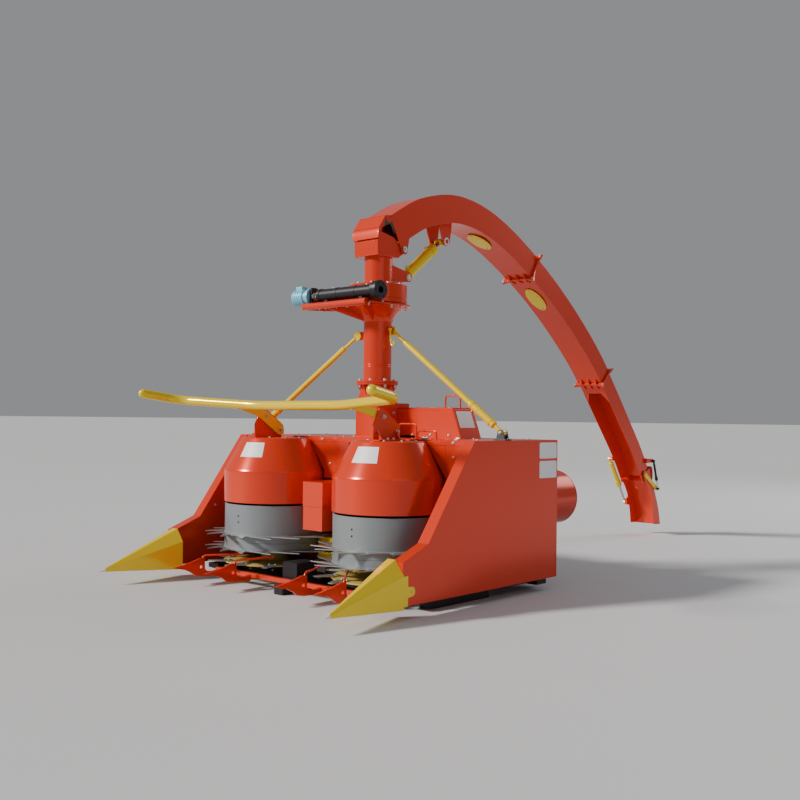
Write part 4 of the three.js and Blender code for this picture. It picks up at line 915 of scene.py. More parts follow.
class HARVESTER_OT_deck_fittings(Make, bpy.types.Operator):
    """Puts the handles, latches and bolts on the deck and its lip."""

    bl_idname = "harvester.deck_fittings"
    bl_label = "Deck fittings"

    def execute(self, context):
        small, bolt = self.sizes.small_bolt, self.sizes.bolt
        top = DECK_TOP
        piece = Piece("deck_fittings", "frame", "red_paint", "zinc", "black_paint")
        for x0, x1, height in ((0.328, 0.437, 0.072), (0.411, 0.53, 0.039)):
            y = 0.15 if height > 0.05 else 0.19
            grab_handle(piece, x0, x1, y, top, top - 2 * MM, top + height, 0.016, 4.5 * MM,
                        mm((0, 0), (8, 0), (8, 1), (5, 4), (0, 4)))
        for x, size in ((0.506, 0.017), (0.705, 0.01)):
            piece.block(place(x - size, 0.116, top), place(x + size, 0.142, top + 5 * MM), 1, 1 * MM)
            piece.rod(place(x - 0.6 * size, 0.129, top + 0.009), place(x + 1.5 * size, 0.129, top + 0.009),
                      4.5 * MM, 1)
        piece.bolts((-0.7, -0.52, -0.34, -0.16, 0.16, 0.34, 0.52, 0.7), 0.106, 0.724, FRONT, small, 1)
        piece.bolts((-0.72, -0.4, -0.14, 0.56, 0.73), (0.24, 0.44, 0.66), top, UP, small, 1)
        piece.bolts((-0.095, 0.095), (0.27, 0.4), top, UP, 0.8 * bolt, 1)
        rim = [place(-0.0785, 0.2595, top + 1 * MM), place(0.0785, 0.2595, top + 1 * MM),
               place(0.0785, 0.414, top + 1 * MM)]
        piece.weld(rim, 3 * MM)
        piece.weld([place(-0.0785, 0.414, top + 1 * MM), rim[0]], 3 * MM)
        piece.block(place(-0.7647, 0.1062, 0.7365), place(0.7647, 0.112, 0.7375), 0, 0.3 * MM)
        for _, side in SIDES:
            corner = mm((546, 711.5), (764.5, 711.5), (764.5, 430), (656, 430), (656, 560))
            piece.prism([(z, side * x) for x, z in corner], across_y(0.108), 4 * MM, 0, 0.8 * MM)
            fold = [place(side * 0.652, 0.1075, 0.7105), place(side * 0.652, 0.1075, 0.6)]
            piece.tube(fold, 1.5 * MM, sides=8)
            for x, z in ((0.7, 0.66), (0.105, 0.6)):
                piece.bolt(place(side * x, 0.108, z), FRONT, small, 1)
        middle = mm((711.5, -256), (711.5, 256), (565, 150), (526, 150), (526, -150), (565, -150))
        piece.prism(middle, across_y(0.108), 4 * MM, 0, 0.8 * MM)
        piece.done(extra=True)
        under = Piece("frame_bolts", "frame", "zinc", "black_paint")
        for _, side in SIDES:
            under.bolts(side * 0.735, (0.36, 0.5, 0.62, 0.74), 0.044, (side, 0, 0), bolt)
            for a in range(6):
                angle = math.radians(60 * a + 15)
                under.bolt(place(side * ROTOR_X, 0, 0) + polar(0.136, angle, 0.0565), polar(0.45, angle, 1),
                           small)
            under.bolts(side * 0.3415, 0.776, (0.26, 0.35, 0.17, 0.56), REAR, bolt)
            for end in (-1, 1):
                under.rod(place(side * 0.3415 + end * 0.0345, 0.85, 0.39),
                          place(side * 0.3415 + end * 0.0425, 0.85, 0.39), 0.019, 0)
            under.bolt(place(side * 0.0405, 0.85, 0.85), (side, 0, 0), bolt)
            under.bolt(place(side * 0.022, 0.7845, 0.64), REAR, bolt)
        under.bolts((-0.085, 0.085), 0.74, (0.355, 0.495), REAR, bolt)
        for a in range(6):
            angle = math.radians(60 * a)
            spot = place(0.046 * math.cos(angle), 0.76, 0.425 + 0.046 * math.sin(angle))
            under.bolt(spot, REAR, small, 0)
        under.done(extra=True)
        return {"FINISHED"}


# ---------------------------------------------------------------- rotors
class HARVESTER_OT_rotor_covers(Make, bpy.types.Operator):
    """Turns the fixed red covers over the rotors."""

    bl_idname = "harvester.rotor_covers"
    bl_label = "Rotor covers"
    top = 0.7297
    shoulder = 0.56
    radius = 0.264
    top_radius = 0.172

    def radius_at(self, z):
        share = (z - self.shoulder) / (self.top - self.shoulder)
        return self.radius - (self.radius - self.top_radius) * share

    def execute(self, context):
        wall, bottom = 5 * MM, 0.402
        for label, side in SIDES:
            piece = Piece(f"rotor_cover_{label}", "frame", "red_paint", "label", "zinc")
            outside = [(0, self.top), (0.15, self.top), (0.1635, self.top - 1.2 * MM),
                       (0.17, self.top - 4 * MM), (self.radius_at(0.722), 0.722),
                       (self.radius_at(0.572), 0.572), (0.2615, 0.563), (self.radius, 0.556),
                       (self.radius, bottom + 6 * MM), (self.radius, bottom + 1 * MM),
                       (self.radius - 1 * MM, bottom)]
            inside = [(self.radius - wall, bottom), (self.radius - wall, self.shoulder),
                      (0.166, self.top - wall), (0, self.top - wall)]
            middle = upright(side * ROTOR_X)
            piece.lathe(outside + inside, middle, 96)
            piece.lathe([(0, self.top - 0.13), (0.062, self.top - 0.13), (0.062, self.top - 2 * MM),
                         (0, self.top - 2 * MM)], middle, 48)
            angle = math.radians(-78 if side > 0 else -76)
            self.wrapped_label(piece, side, angle, 0.3, 0.632, 0.704)
            for shift in (0.0, 0.55, -0.55):
                turn = angle + math.pi + shift
                at = middle @ polar(0.15, turn - 2.2, self.top)
                if at.y < ROTOR_LINE + 0.085:
                    piece.bolt(at, UP, self.sizes.small_bolt, 2)
            seam = [middle @ polar(r, 2.2, z) for r, z in
                    ((self.radius, bottom + 2 * MM), (self.radius, 0.556), (self.radius_at(0.722), 0.722))]
            piece.weld(seam, 1.5 * MM)
            piece.done()
        return {"FINISHED"}

    def wrapped_label(self, piece, side, angle, half, low, high):
        """A blank label laid on the cone."""
        steps = 14
        rings = []
        for i in range(steps + 1):
            turn = angle + half * (2 * i / steps - 1)
            ring = []
            for z, out in ((low, 0.2 * MM), (high, 0.2 * MM), (high, 0.8 * MM), (low, 0.8 * MM)):
                radius = self.radius_at(z) + out
                ring.append(place(side * ROTOR_X + radius * math.cos(turn), radius * math.sin(turn), z))
            rings.append(ring)
        piece.skin(rings, 1)


def saw_outline(root, tip, teeth, hand):
    """A ring of long raked teeth with a hollow leading edge."""
    pitch = 2 * math.pi / teeth
    profile = ((root, 0.0), (root + 0.012, 0.3), (root + 0.034, 0.6), (tip - 0.022, 0.84), (tip, 1.05),
               (tip - 0.016, 0.98), (tip - 0.04, 0.93), (root + 0.022, 0.87), (root + 0.005, 0.86))
    points = []
    for i in range(teeth):
        for radius, share in profile:
            angle = hand * (i + share) * pitch
            points.append((radius * math.cos(angle), radius * math.sin(angle)))
    return points


class HARVESTER_OT_rotors(Make, bpy.types.Operator):
    """Turns the grey drums and cuts their toothed rings."""

    bl_idname = "harvester.rotors"
    bl_label = "Rotors"

    def execute(self, context):
        radius = 0.258
        for label, side in SIDES:
            body = f"rotor_{label}"
            middle = upright(side * ROTOR_X)
            drum = Piece(f"rotor_drum_{label}", body, "grey_paint", "zinc", "black_paint")
            outside = [(0, 0.146), (0.149, 0.146), (0.2515, 0.1615), (radius - 1 * MM, 0.162),
                       (radius, 0.163)]
            groove, deep = 0.205, radius - 1.8 * MM
            outside += [(radius, groove - 2.2 * MM), (deep, groove - 1 * MM), (deep, groove + 1 * MM),
                        (radius, groove + 2.2 * MM)]
            outside += [(radius, 0.3905), (radius - 1.5 * MM, 0.392)]
            inside = mm((251.5, 392), (250, 390.5), (250, 176), (40, 176), (40, 598), (38, 599.4),
                        (0, 599.4))
            drum.lathe(outside + inside, middle, 96)
            for turn in (-1.5, 0.07, 1.64, 3.21):
                for lift in (0.0, 0.03):
                    ends = [middle @ polar(r, turn, 0.306 + lift) for r in (radius, radius + 0.4 * MM)]
                    drum.rod(*ends, 5 * MM, 2, sides=16)
            drum.done()
            for level, z in (("upper", 0.24), ("lower", 0.167)):
                name = f"toothed_disc_{level}_{label}"
                ring = Piece(name, body, "knife_steel", "grey_paint")
                saw = saw_outline(0.274, 0.36, self.sizes.teeth, -side)
                ring.prism(saw, middle @ Matrix.Translation((0, 0, z - 2 * MM)), 4 * MM, 0, 0.5 * MM,
                           circle(radius + 0.3 * MM, 96))
                for sign in (-1, 1):
                    ring.lathe([(radius + 0.3 * MM, z + sign * 2 * MM),
                                (radius + 4 * MM, z + sign * 2 * MM),
                                (radius + 0.3 * MM, z + sign * 6 * MM)], middle, 96, 1)
                ring.done()
        return {"FINISHED"}


class HARVESTER_OT_cutter_discs(Make, bpy.types.Operator):
    """Cuts the mowing discs with their serrated knives."""

    bl_idname = "harvester.cutter_discs"
    bl_label = "Cutter discs"

    def execute(self, context):
        knives = self.sizes.knives
        pitch = 2 * math.pi / knives
        for label, side in SIDES:
            middle = upright(side * ROTOR_X)
            piece = Piece(f"cutter_disc_{label}", f"cutter_{label}", "knife_steel", "worn_yellow", "zinc")
            piece.lathe(mm((0, 84.3), (69, 84.3), (70, 85.3), (70, 91.5), (261.5, 92), (262, 95),
                           (261.5, 98), (74, 98), (70, 102), (70, 144), (68, 145.7), (0, 145.7)), middle,
                        96, 1)
            for i in range(knives):
                blade = self.blade(i, pitch, side)
                piece.prism(blade, middle @ Matrix.Translation((0, 0, 0.0982)), 3.2 * MM, 0, 0.4 * MM)
                for share, radius in ((0.1, 0.245), (0.3, 0.238)):
                    at = polar(radius, side * (i + share) * pitch, 0.1014)
                    piece.bolt(middle @ at, UP, 5 * MM, 2)
            piece.done()
        return {"FINISHED"}

    @staticmethod
    def blade(index, pitch, side):
        """Outline of one hooked knife; its leading edge is serrated."""
        def at(radius, share):
            angle = side * (index + share) * pitch
            return radius * math.cos(angle), radius * math.sin(angle)

        front = []
        teeth = 9
        for k in range(2 * teeth + 1):
            share = k / (2 * teeth)
            radius = 0.262 + (0.345 - 0.262) * share
            lead = 0.03 + 0.27 * share ** 1.4 + (0.018 if k % 2 else 0.0)
            front.append(at(radius, lead))
        back = [at(0.34, 0.42), at(0.328, 0.44), at(0.3, 0.42), at(0.27, 0.4), at(0.222, 0.36),
                at(0.222, 0.02)]
        return front + back


class HARVESTER_OT_stalk_dividers(Make, bpy.types.Operator):
    """Cuts the red hooked plates in front of the discs and bends their rods."""

    bl_idname = "harvester.stalk_dividers"
    bl_label = "Stalk dividers"

    def execute(self, context):
        piece = Piece("stalk_dividers", "frame", "red_paint", "zinc")
        tip_y, tip_z, bar_y, bar_z, plate = -0.56, 0.095, -0.278, 0.06, 0.012
        base_y = tip_y + 0.18
        piece.block(place(-0.52, bar_y - 0.011, 0.0483), place(0.52, bar_y + 0.011, bar_z + 0.011),
                    edge=2 * MM)
        outline = [(tip_y, tip_z), (tip_y + 0.035, tip_z - 0.009), (tip_y + 0.07, tip_z - 0.016),
                   (tip_y + 0.105, tip_z - 0.032), (tip_y + 0.13, tip_z - 0.052), (base_y - 0.028, 0.039),
                   (base_y - 0.01, 0.036), (bar_y - 0.014, 0.032), (bar_y + 0.012, bar_z - 0.01),
                   (bar_y + 0.012, bar_z + 0.01), (base_y + 0.06, 0.057), (base_y + 0.034, 0.058),
                   (base_y + 0.016, 0.064), (base_y + 0.008, 0.074), (base_y + 0.006, 0.128),
                   (base_y - 0.022, 0.128), (base_y - 0.045, 0.121), (tip_y + 0.09, tip_z + 0.014)]
        for x in (-0.5, -0.25, 0.25, 0.5):
            hand = 1 if x > 0 else -1
            piece.prism(outline, across_x(x - plate / 2), plate, 0, 2.5 * MM,
                        circle(9 * MM, 16, (base_y - 0.014, 0.084)))
            end = (x - hand * 0.13, base_y + 0.15) if abs(x) > 0.4 else (x - hand * 0.07, base_y + 0.19)
            path = rounded_path([place(x, base_y - 0.008, 0.112), place(x, base_y + 0.002, 0.14),
                                 place(*end, 0.146)], 0.02)
            piece.tube(path, 5 * MM, sides=16)
            piece.seam((x - 6.5 * MM, base_y + 0.004, 0.127), (x + 6.5 * MM, base_y + 0.004, 0.127),
                       2.4 * MM)
            piece.bolt(place(x + hand * plate / 2, bar_y, bar_z - 2 * MM), (hand, 0, 0), 7 * MM, 1)
            ends = [place(x - 7 * MM, bar_y - 0.012, bar_z - 6 * MM),
                    place(x - 7 * MM, bar_y + 0.012, bar_z - 6 * MM)]
            piece.weld(ends, 2.2 * MM)
        piece.done()
        return {"FINISHED"}


# ---------------------------------------------------------------- push bar
class HARVESTER_OT_push_bar(Make, bpy.types.Operator):
    """Bends the yellow push bar and bolts its arms to the red brackets."""

    bl_idname = "harvester.push_bar"
    bl_label = "Push bar"

    def execute(self, context):
        radius, bolt = self.sizes.bar_radius, self.sizes.bolt
        piece = Piece("push_bar", "frame", "yellow_paint", "zinc")
        half = [Vector((0.3, -0.222, 0.89)), Vector((0.765, -0.345, 0.916)), Vector((0.806, -0.545, 0.946))]
        half[-1] += (half[-1] - half[-2]).normalized() * 0.9 * radius
        right = [place(*p) for p in half]
        left = [place(-p.x, p.y, p.z) for p in half]
        piece.tube(rounded_path(left[::-1] + right, 0.075, 10), radius, 0, 28)
        arm_x, arm = 0.404, 0.01
        y, z = -0.2495, 0.8958
        outline = [*mm((56, 748), (57, 770), (50, 794), (-60, 866), (-90, 874)), (y + 0.014, z + 0.004),
                   (y - 0.012, z - 0.006), (y - 0.006, z - 0.022),
                   *mm((-130, 842), (-100, 826), (14, 746), (36, 741))]
        for label, side in SIDES:
            piece.side_plate(outline, side, arm_x, arm, 0, 1.5 * MM)
            piece.seam((side * (arm_x - 1 * MM), y + 0.02, z - 0.017),
                       (side * (arm_x - 1 * MM), y - 0.01, z - 0.026), 3 * MM)
            for by, bz in ((0.034, 0.77), (-0.062, 0.84)):
                piece.bolt(place(side * arm_x, by, bz), (-side, 0, 0), bolt, 1)
            self.bracket(label, side, arm_x + arm + 0.3 * MM, bolt)
        piece.done()
        return {"FINISHED"}

    @staticmethod
    def bracket(label, side, x, bolt):
        piece = Piece(f"bar_bracket_{label}", "frame", "red_paint", "zinc")
        front, rear, foot, web = -0.13, 0.048, 0.73, 8 * MM
        outline = [(front, foot), (rear, foot), (rear, 0.803),
                   *mm((-64, 880), (-68, 882), (-86, 882), (-90, 879)), (front, 0.797)]
        piece.side_plate(outline, side, x, web, 0, 1.5 * MM)
        start = x + web - 1 * MM if side > 0 else -x - 0.046
        piece.block(place(start, front, foot), place(start + 0.046 - web + 1 * MM, rear, foot + 6 * MM), 0,
                    1.2 * MM)
        for y in (-0.105, 0.022):
            rib = [(foot + 5 * MM, side * (x + web - 1 * MM)), (foot + 5 * MM, side * (x + 0.042)),
                   (foot + 0.05, side * (x + web - 1 * MM))]
            piece.prism(rib, across_y(y - 3 * MM), 6 * MM, 0, 0.8 * MM)
        piece.bolts(side * (x + 0.03), (-0.06, -0.02), foot + 6 * MM, UP, bolt, 1)
        for y, z in ((0.034, 0.77), (-0.062, 0.84)):
            piece.bolt(place(side * (x + web), y, z), (side, 0, 0), bolt, 1, nut=True, stud=5 * MM)
        piece.seam((side * (x + web), front + 5 * MM, foot + 6.5 * MM),
                   (side * (x + web), rear - 5 * MM, foot + 6.5 * MM), 2.6 * MM)
        piece.done()


# ---------------------------------------------------------------- chopper
class HARVESTER_OT_chopper(Make, bpy.types.Operator):
    """Builds the chopper drum, the box above it with its lid, and the open drive cover."""

    bl_idname = "harvester.chopper"
    bl_label = "Chopper"

    def execute(self, context):
        front, rear, top = 0.4163, 0.5843, 0.884
        bolt, small = self.sizes.bolt, self.sizes.small_bolt
        piece = Piece("chopper_housing", "frame", "red_paint", "label", "zinc")
        drum = pointing(place(0.15, front, 0.42), REAR)
        depth = rear - front
        piece.lathe([*mm((0, 0), (328, 0), (330, 2), (330, 12), (318, 14)), (0.318, depth - 0.014),
                     (0.33, depth - 0.012), (0.33, depth - 2 * MM), (0.328, depth), (0, depth)], drum, 96)
        for i in range(18):
            at = drum @ polar(0.322, 2 * math.pi * i / 18, depth)
            if at.z < 0.58:
                piece.bolt(at, REAR, small, 2)
        outline = [(0.6, -0.06), (top, -0.06), (top, 0.442), (0.722, 0.502), (0.6, 0.472)]
        piece.prism(outline, across_y(front), depth, 0, 3 * MM)
        piece.block(place(-0.05, front + 0.02, top - 1 * MM), place(0.036, rear - 0.03, top + 0.03), 0,
                    7 * MM)
        slope = Vector((0.162, 0, 0.06)).normalized()
        down = Vector((0.06, 0, -0.162)).normalized()
        corner = place(0.442, 0.437, top) + down * 0.012 + slope * 0.2 * MM
        tag = Matrix((REAR, down, slope)).transposed().to_4x4()
        tag.translation = corner
        piece.prism(rounded_box(0, 0, 0.12, 0.088, 5 * MM), tag, 0.7 * MM, 1, 0)
        piece.bolts((0.06, 0.18, 0.3, 0.42), front, 0.752, FRONT, small, 2)
        piece.seam((0.446, front + 1 * MM, top - 4 * MM), (0.5, front + 1 * MM, 0.73), 2 * MM)
        piece.done()
        self.lid(front, rear, top)
        self.drive_cover(bolt, small)
        return {"FINISHED"}

    @staticmethod
    def lid(front, rear, top):
        piece = Piece("chopper_lid", "lid", "red_paint", "zinc")
        low = top + 0.3 * MM
        piece.block(place(0.046, front + 4 * MM, low), place(0.436, rear - 0.004, low + 4 * MM), 0,
                    1.4 * MM)
        rim = [place(0.06, front + 0.018, low + 4 * MM), place(0.422, front + 0.018, low + 4 * MM),
               place(0.422, rear - 0.02, low + 4 * MM), place(0.06, rear - 0.02, low + 4 * MM)]
        piece.tube(rounded_path(rim + rim[:1], 0.02), 2.2 * MM, 0, 10)
        hinge_y, hinge_z = rear + 4 * MM, low + 5 * MM
        for x0, x1 in ((0.056, 0.14), (0.195, 0.29), (0.345, 0.426)):
            piece.rod(place(x0, hinge_y, hinge_z), place(x1, hinge_y, hinge_z), 5 * MM, 0)
            piece.block(place(x0, rear - 0.03, low + 3.5 * MM), place(x1, rear + 2 * MM, low + 6 * MM), 0,
                        0.6 * MM)
        piece.rod(place(0.05, hinge_y, hinge_z), place(0.43, hinge_y, hinge_z), 2.6 * MM, 1)
        grab_handle(piece, 0.332, 0.428, front + 0.08, low + 4 * MM, low + 2 * MM, 0.952, 0.018, 4.6 * MM,
                    mm((0, 0), (8.5, 0), (8, 2), (5, 4), (0, 4)), 18)
        piece.done()

    @staticmethod
    def drive_cover(bolt, small):
        piece = Piece("drive_cover", "frame", "red_paint", "black_paint", "zinc")
        start, end = 0.5846, 1.13
        matrix = pointing(place(0.58, start, 0.423), REAR)
        reach = end - start
        piece.lathe([(0, 0), (0.142, 0), (0.142, reach - 0.012), (0.1405, reach - 0.011),
                     (0.1405, reach - 4 * MM), (0.142, reach - 3 * MM), (0.142, reach - 1 * MM),
                     (0.141, reach), (0.138, reach), (0.137, reach - 1 * MM), (0.137, 0.04), (0, 0.04)],
                    matrix, 96)
        piece.lathe(mm((0, 39), (60, 39), (60, 110), (56, 114), (22, 116), (22, 235), (20, 238), (0, 238)),
                    matrix, 40, 1)
        for i in range(6):
            angle = math.pi * i / 3
            piece.bolt(matrix @ polar(0.098, angle, 0.04), REAR, bolt, 2)
            piece.bolt(matrix @ polar(0.045, angle, 0.114), REAR, small, 2)
        seam = [matrix @ polar(0.142, 0.5, w) for w in (0.2, reach - 0.015)]
        piece.weld(seam, 1.6 * MM)
        piece.done()


# ---------------------------------------------------------------- tower
TOWER_Y = 0.338
TOWER_RADIUS = 0.073


def ring_of_bolts(piece, centre, radius, count, along, size, finish, start=0.0, nut=False):
    """Bolts spread round a vertical axis."""
    for i in range(count):
        angle = start + 2 * math.pi * i / count
        piece.bolt(centre + polar(radius, angle), along, size, finish, nut=nut, stud=0.6 * size)


class HARVESTER_OT_tower(Make, bpy.types.Operator):
    """Builds the tower's foot and tube with their flanges, lugs and hook."""

    bl_idname = "harvester.tower"
    bl_label = "Tower"

    def execute(self, context):
        bolt = self.sizes.bolt
        axis = upright(0, TOWER_Y)
        half, base_top, cone_top, neck = 0.078, 0.915, 0.995, 0.082
        foot = Piece("tower_foot", "frame", "red_paint", "zinc")
        foot.block(place(-half, TOWER_Y - half, 0.44), place(half, TOWER_Y + half, base_top), edge=5 * MM)
        foot.skin([[axis @ Vector((*point, z)) for point in self.blend(half, neck, share)]
                   for share, z in ((0.0, base_top - 1 * MM), (0.25, base_top + 0.018),
                                    (0.5, base_top + 0.04), (0.75, base_top + 0.062), (1.0, cone_top),
                                    (1.0, 1.007))])
        foot.lathe(mm((70, 1005), (109, 1005), (110, 1006), (110, 1014.7), (109, 1015.7), (70, 1015.7)),
                   axis, 64)
        ring_of_bolts(foot, place(0, TOWER_Y, 1.005), 0.096, 8, DOWN, bolt, 1, math.pi / 8, True)
        for i in range(8):
            angle = math.pi / 4 * i
            corners = [(neck - 1 * MM, 0.958), (0.104, 1.0055), (neck - 1 * MM, 1.0055)]
            side = polar(2.5 * MM, angle - math.pi / 2)
            gusset(foot, *([axis @ (polar(r, angle, z) + shift) for r, z in corners]
                           for shift in (side, -side)))
        front = TOWER_Y - half
        foot.seam((-half + 4 * MM, front, base_top), (half - 4 * MM, front, base_top), 2.2 * MM)
        foot.seam((half, TOWER_Y - half + 4 * MM, base_top), (half, TOWER_Y + half - 4 * MM, base_top),
                  2.2 * MM)
        foot.bolts(half, (TOWER_Y - 0.045, TOWER_Y + 0.045), (0.78, 0.86), RIGHT, bolt, 1)
        foot.done()

        tube = Piece("tower_tube", "frame", "red_paint", "zinc", "yellow_paint")
        tube.lathe([*mm((68, 1016), (109, 1016), (110, 1017), (110, 1026), (109, 1027), (76.5, 1027)),
                    (TOWER_RADIUS, 1.0305), (TOWER_RADIUS, 1.42), (0.068, 1.42)], axis, 64)
        ring_of_bolts(tube, place(0, TOWER_Y, 1.027), 0.096, 8, UP, bolt, 1, math.pi / 8)
        for near, far, y0, z0, back in ((0.07, 0.108, 0.33, 1.262, -1), (-0.059, -0.106, 0.296, 1.24, 1)):
            outline = [(z0, near), (z0 + 0.044, near), (z0 + 0.044, far + back * 0.012), (z0 + 0.03, far),
                       (z0 + 0.012, far), (z0, far + back * 0.014)]
            tube.prism(outline, across_y(y0), 0.01, 0, 1.2 * MM)
        hook = [place(0.1, 0.326, 1.292), place(0.104, 0.324, 1.262), place(0.108, 0.322, 1.232),
                place(0.116, 0.32, 1.208), place(0.128, 0.318, 1.203), place(0.136, 0.317, 1.214),
                place(0.137, 0.317, 1.228)]
        tube.tube(rounded_path(hook, 0.02, 4), 5 * MM, 2, 16)
        tube.rod(place(0.1, 0.3295, 1.29), place(0.1, 0.3205, 1.29), 9 * MM, 2)
        for z in (1.1, 1.11):
            tube.lathe([(TOWER_RADIUS - 0.5 * MM, z - 3 * MM), (TOWER_RADIUS + 0.7 * MM, z),
                        (TOWER_RADIUS - 0.5 * MM, z + 3 * MM)], axis, 64)
        tube.done()
        return {"FINISHED"}

    @staticmethod
    def blend(half, radius, share, count=64):
        """Points between a square and a circle."""
        points = []
        for i in range(count):
            angle = 2 * math.pi * (i + 0.5) / count
            c, s = math.cos(angle), math.sin(angle)
            square = half / max(abs(c), abs(s))
            reach = square + (radius - square) * share
            points.append((reach * c, reach * s))
        return points


class HARVESTER_OT_slew_drive(Make, bpy.types.Operator):
    """Builds the slewing platform with its tray, the black worm housing and the blue motor."""

    bl_idname = "harvester.slew_drive"
    bl_label = "Slewing drive"

    def execute(self, context):
        self.platform()
        self.worm()
        self.motor()
        return {"FINISHED"}

    def platform(self):
        bolt = self.sizes.bolt
        axis = upright(0, TOWER_Y)
        top, plate, gap = 1.42, 8 * MM, TOWER_RADIUS + 0.3 * MM
        piece = Piece("slew_platform", "frame", "red_paint", "zinc")
        flare = [(gap, 1.332), (gap + 4 * MM, 1.332), (gap + 6 * MM, 1.34), (gap + 0.01, 1.352),
                 (gap + 0.017, 1.364), (gap + 0.027, 1.376), (gap + 0.041, 1.387), (gap + 0.06, 1.398),
                 (gap + 0.08, 1.407), (0.16, top - plate), (0.167, top - plate),
                 (0.168, top - plate + 1 * MM), (0.168, top - 1 * MM), (0.167, top), (gap, top)]
        piece.lathe(flare, axis, 96)
        tray_y = (0.112, 0.262)
        piece.block(place(-0.32, tray_y[0], top - plate), place(0.136, tray_y[1], top), 0, 1.5 * MM)
        piece.rod(place(-0.324, tray_y[0], top - 6 * MM), place(0.136, tray_y[0], top - 6 * MM), 0.017, 0,
                  sides=40)
        for x in (-0.324, 0.13):
            piece.rod(place(x, tray_y[0], top - 6 * MM), place(x + 6 * MM, tray_y[0], top - 6 * MM), 0.0175,
                      0, sides=40)
        for x, depth in ((-0.31, 0.01), (-0.15, 0.034), (0.1, 0.034)):
            to_tower = Vector((-x, TOWER_Y - tray_y[0], 0)).normalized()
            across = to_tower.cross(UP) * 4 * MM
            near = place(x, tray_y[0] + 0.01, 0)
            far = place(0, TOWER_Y, 0) - to_tower * (TOWER_RADIUS + 4 * MM)
            corners = [near + Vector((0, 0, top - plate + 1 * MM)),
                       far + Vector((0, 0, top - plate + 1 * MM)), far + Vector((0, 0, 1.404 - 2 * depth)),
                       near + Vector((0, 0, top - plate - 0.016))]
            points = [c + a for a in (across, -across) for c in corners]
            faces = [(0, 1, 2, 3), (4, 5, 6, 7), (0, 1, 5, 4), (1, 2, 6, 5), (2, 3, 7, 6), (3, 0, 4, 7)]
            piece.shell(points, faces, 0, 1 * MM)
        for i in range(14):
            angle = 2 * math.pi * i / 14 + 0.1
            at = axis @ polar(0.15, angle, top - plate - 0.5 * MM)
            if math.sin(angle) > -0.45:
                piece.bolt(at, DOWN, bolt * 0.9, 1, nut=True, stud=7 * MM)
        outer_x, inner_x = (-0.292, -0.232, -0.185), (-0.105, -0.03, 0.048, 0.088, 0.122)
        for xs, ys in ((outer_x, (0.14, 0.228)), (inner_x, 0.14)):
            piece.bolts(xs, ys, top - plate, DOWN, bolt * 0.9, 1, nut=True, stud=9 * MM)
        piece.bolts((-0.3, 0.116), tray_y[1] - 0.014, top, UP, bolt * 0.9, 1)
        piece.seam((-0.318, tray_y[0] + 0.015, top + 0.5 * MM), (0.134, tray_y[0] + 0.015, top + 0.5 * MM),
                   2.2 * MM)
        piece.done()

    def worm(self):
        y, z, radius = 0.15, 1.47, 0.033
        small = self.sizes.small_bolt
        axis = Matrix.Translation(place(0, y, z)) @ Matrix.Rotation(math.pi / 2, 4, "Y")
        piece = Piece("worm_housing", "frame", "black_paint", "zinc", "bright_steel")
        piece.lathe([*mm((0, -238), (35, -238), (36, -237), (36, -219), (35, -218)), (radius, -0.217),
                     (radius, 0.154), *mm((35, 157), (46, 158), (48, 160), (48, 193), (46, 197), (0, 197))],
                    axis, 64)
        piece.lathe(mm((0, 196.5), (20, 196.5), (20, 196.8), (17, 197), (0, 197)), axis, 40, 2)
        piece.lathe(mm((0, -286.5), (20, -286.5), (20, -272), (13.5, -268), (13.5, -256), (20, -252),
                       (20, -237), (0, -237)), axis, 40, 2)
        for i in range(6):
            angle = i * math.pi / 3
            at = place(0.197, y + 0.038 * math.cos(angle), z + 0.038 * math.sin(angle))
            piece.rod(at - Vector((1 * MM, 0, 0)), at, 4 * MM, 1, sides=16)
        foot_front = 0.13
        for x in (-0.19, 0.06):
            piece.block(place(x, foot_front, 1.4203), place(x + 0.024, y + 0.024, z - radius + 8 * MM), 0,
                        2 * MM)
            piece.bolt(place(x + 0.012, y + 0.0245, 1.437), REAR, small, 1)
        plate = [(foot_front, 1.4203), (y + 0.03, 1.4203), (y + 0.03, 1.506), (y + 0.02, 1.516),
                 (foot_front + 0.008, 1.516), (foot_front, 1.508)]
        piece.prism(plate, across_x(-0.2997), 0.0157, 0, 1.5 * MM)
        for x in (-0.1, 0.03):
            piece.lathe([(0.0325, x - 7 * MM), (0.0345, x - 6 * MM), (0.0345, x + 6 * MM),
                         (0.0325, x + 7 * MM)], axis, 64)
        piece.bolts((-0.14, 0.1), y, z + radius - 0.5 * MM, UP, small, 1)
        piece.done()

